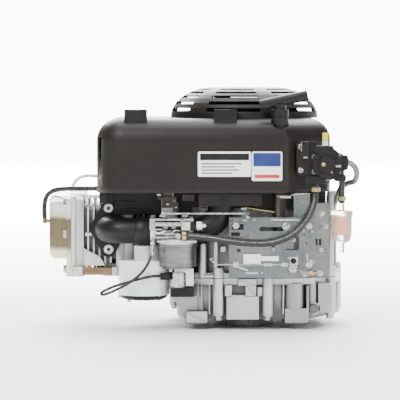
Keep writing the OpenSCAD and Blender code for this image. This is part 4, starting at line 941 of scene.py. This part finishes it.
TARGET = Vector((-0.066, 0.0, 0.179))
FIELD_WIDTH = 0.600
CAMERA_DISTANCE = 4.0
CAMERA_ELEVATION = math.radians(2.6)
FLOOR_Z = -0.0065
SHAFT_HOLE = 0.016
FLOOR_RADIUS = 8
BACKDROP_GLOW = 8.0
BACKDROP_LIGHT = 11.0


def camera():
    data = bpy.data.cameras.new("camera")
    data.sensor_width = 36
    data.lens = data.sensor_width * CAMERA_DISTANCE / FIELD_WIDTH
    data.clip_end = 30
    cam = bpy.data.objects.new("camera", data)
    bpy.context.scene.collection.objects.link(cam)
    away = Vector((0, -math.cos(CAMERA_ELEVATION), math.sin(CAMERA_ELEVATION)))
    cam.location = TARGET + away * CAMERA_DISTANCE
    cam.rotation_euler = (math.radians(90) - CAMERA_ELEVATION, 0, 0)
    bpy.context.scene.camera = cam


def floor():
    """A pale disc with a hole for the output shaft, glowing towards the backdrop so that no horizon shows."""
    segments = 64
    circle = [Vector((math.cos(2 * math.pi * k / segments), math.sin(2 * math.pi * k / segments), 0))
        for k in range(segments)]
    verts, faces = loops_part([[p * SHAFT_HOLE for p in circle], [p * FLOOR_RADIUS for p in circle]])
    mesh = mesh_from("floor", verts, faces)
    obj = bpy.data.objects.new("floor", mesh)
    obj.location.z = FLOOR_Z
    bpy.context.scene.collection.objects.link(obj)
    mat, tree, shader = new_material("floor_white")
    tint = object_noise(tree, 3.0, 2.0)
    tree.links.new(ramp(tree, tint, [(0.3, grey(0.9)), (0.7, grey(0.93))]), shader.inputs["Base Color"])
    shader.inputs["Roughness"].default_value = 0.75
    coords = tree.nodes.new("ShaderNodeTexCoord")
    split = tree.nodes.new("ShaderNodeSeparateXYZ")
    tree.links.new(coords.outputs["Object"], split.inputs["Vector"])
    shader.inputs["Emission Color"].default_value = (1, 1, 1, 1)
    tree.links.new(map_range(tree, split.outputs["Y"], 0.0, BACKDROP_GLOW, 0.25, 3.0),
        shader.inputs["Emission Strength"])
    mesh.materials.append(mat)


def area_light(name, place, aim, size, power):
    data = bpy.data.lights.new(name, "AREA")
    data.energy = power
    data.size = size
    light = bpy.data.objects.new(name, data)
    light.location = place
    light.rotation_euler = (Vector(aim) - Vector(place)).to_track_quat("-Z", "Y").to_euler()
    bpy.context.scene.collection.objects.link(light)


def studio():
    """White cyclorama: bright behind the engine, dim at the sides, so that round metal gets dark edges."""
    world = bpy.data.worlds.new("studio")
    world.use_nodes = True
    tree = world.node_tree
    background = tree.nodes["Background"]
    coords = tree.nodes.new("ShaderNodeTexCoord")
    split = tree.nodes.new("ShaderNodeSeparateXYZ")
    tree.links.new(coords.outputs["Generated"], split.inputs["Vector"])
    depth = map_range(tree, split.outputs["Y"], 0.0, 1.0, -1.0, 1.0)
    stops = [(0.0, grey(0.11)), (0.08, grey(0.07)), (0.3, grey(0.025)), (0.5, grey(0.02)), (0.95, grey(0.05)),
        (0.985, grey(0.12)), (0.992, grey(1.0))]
    tree.links.new(ramp(tree, depth, stops), background.inputs["Color"])
    background.inputs["Strength"].default_value = BACKDROP_LIGHT
    bpy.context.scene.world = world
    area_light("key", (-1.0, -1.8, 1.9), (-0.05, 0, 0.15), 1.0, 75)
    area_light("fill", (1.6, -1.6, 0.8), (0, 0, 0.15), 1.4, 22)
    area_light("top", (0.0, 0.3, 2.4), (0, 0, 0.2), 2.2, 140)
    area_light("backdrop", (0.0, 5.0, 2.8), (0, 5.0, 0), 5.0, 1700)


camera()
floor()
studio()
dress_nodes()
blower_housing()
labels()
hoses()
carburettor_details()
starter_details()
plate_details()
plate_extras()
under_shroud()
casting_details()
filter_shell()
pump_details()
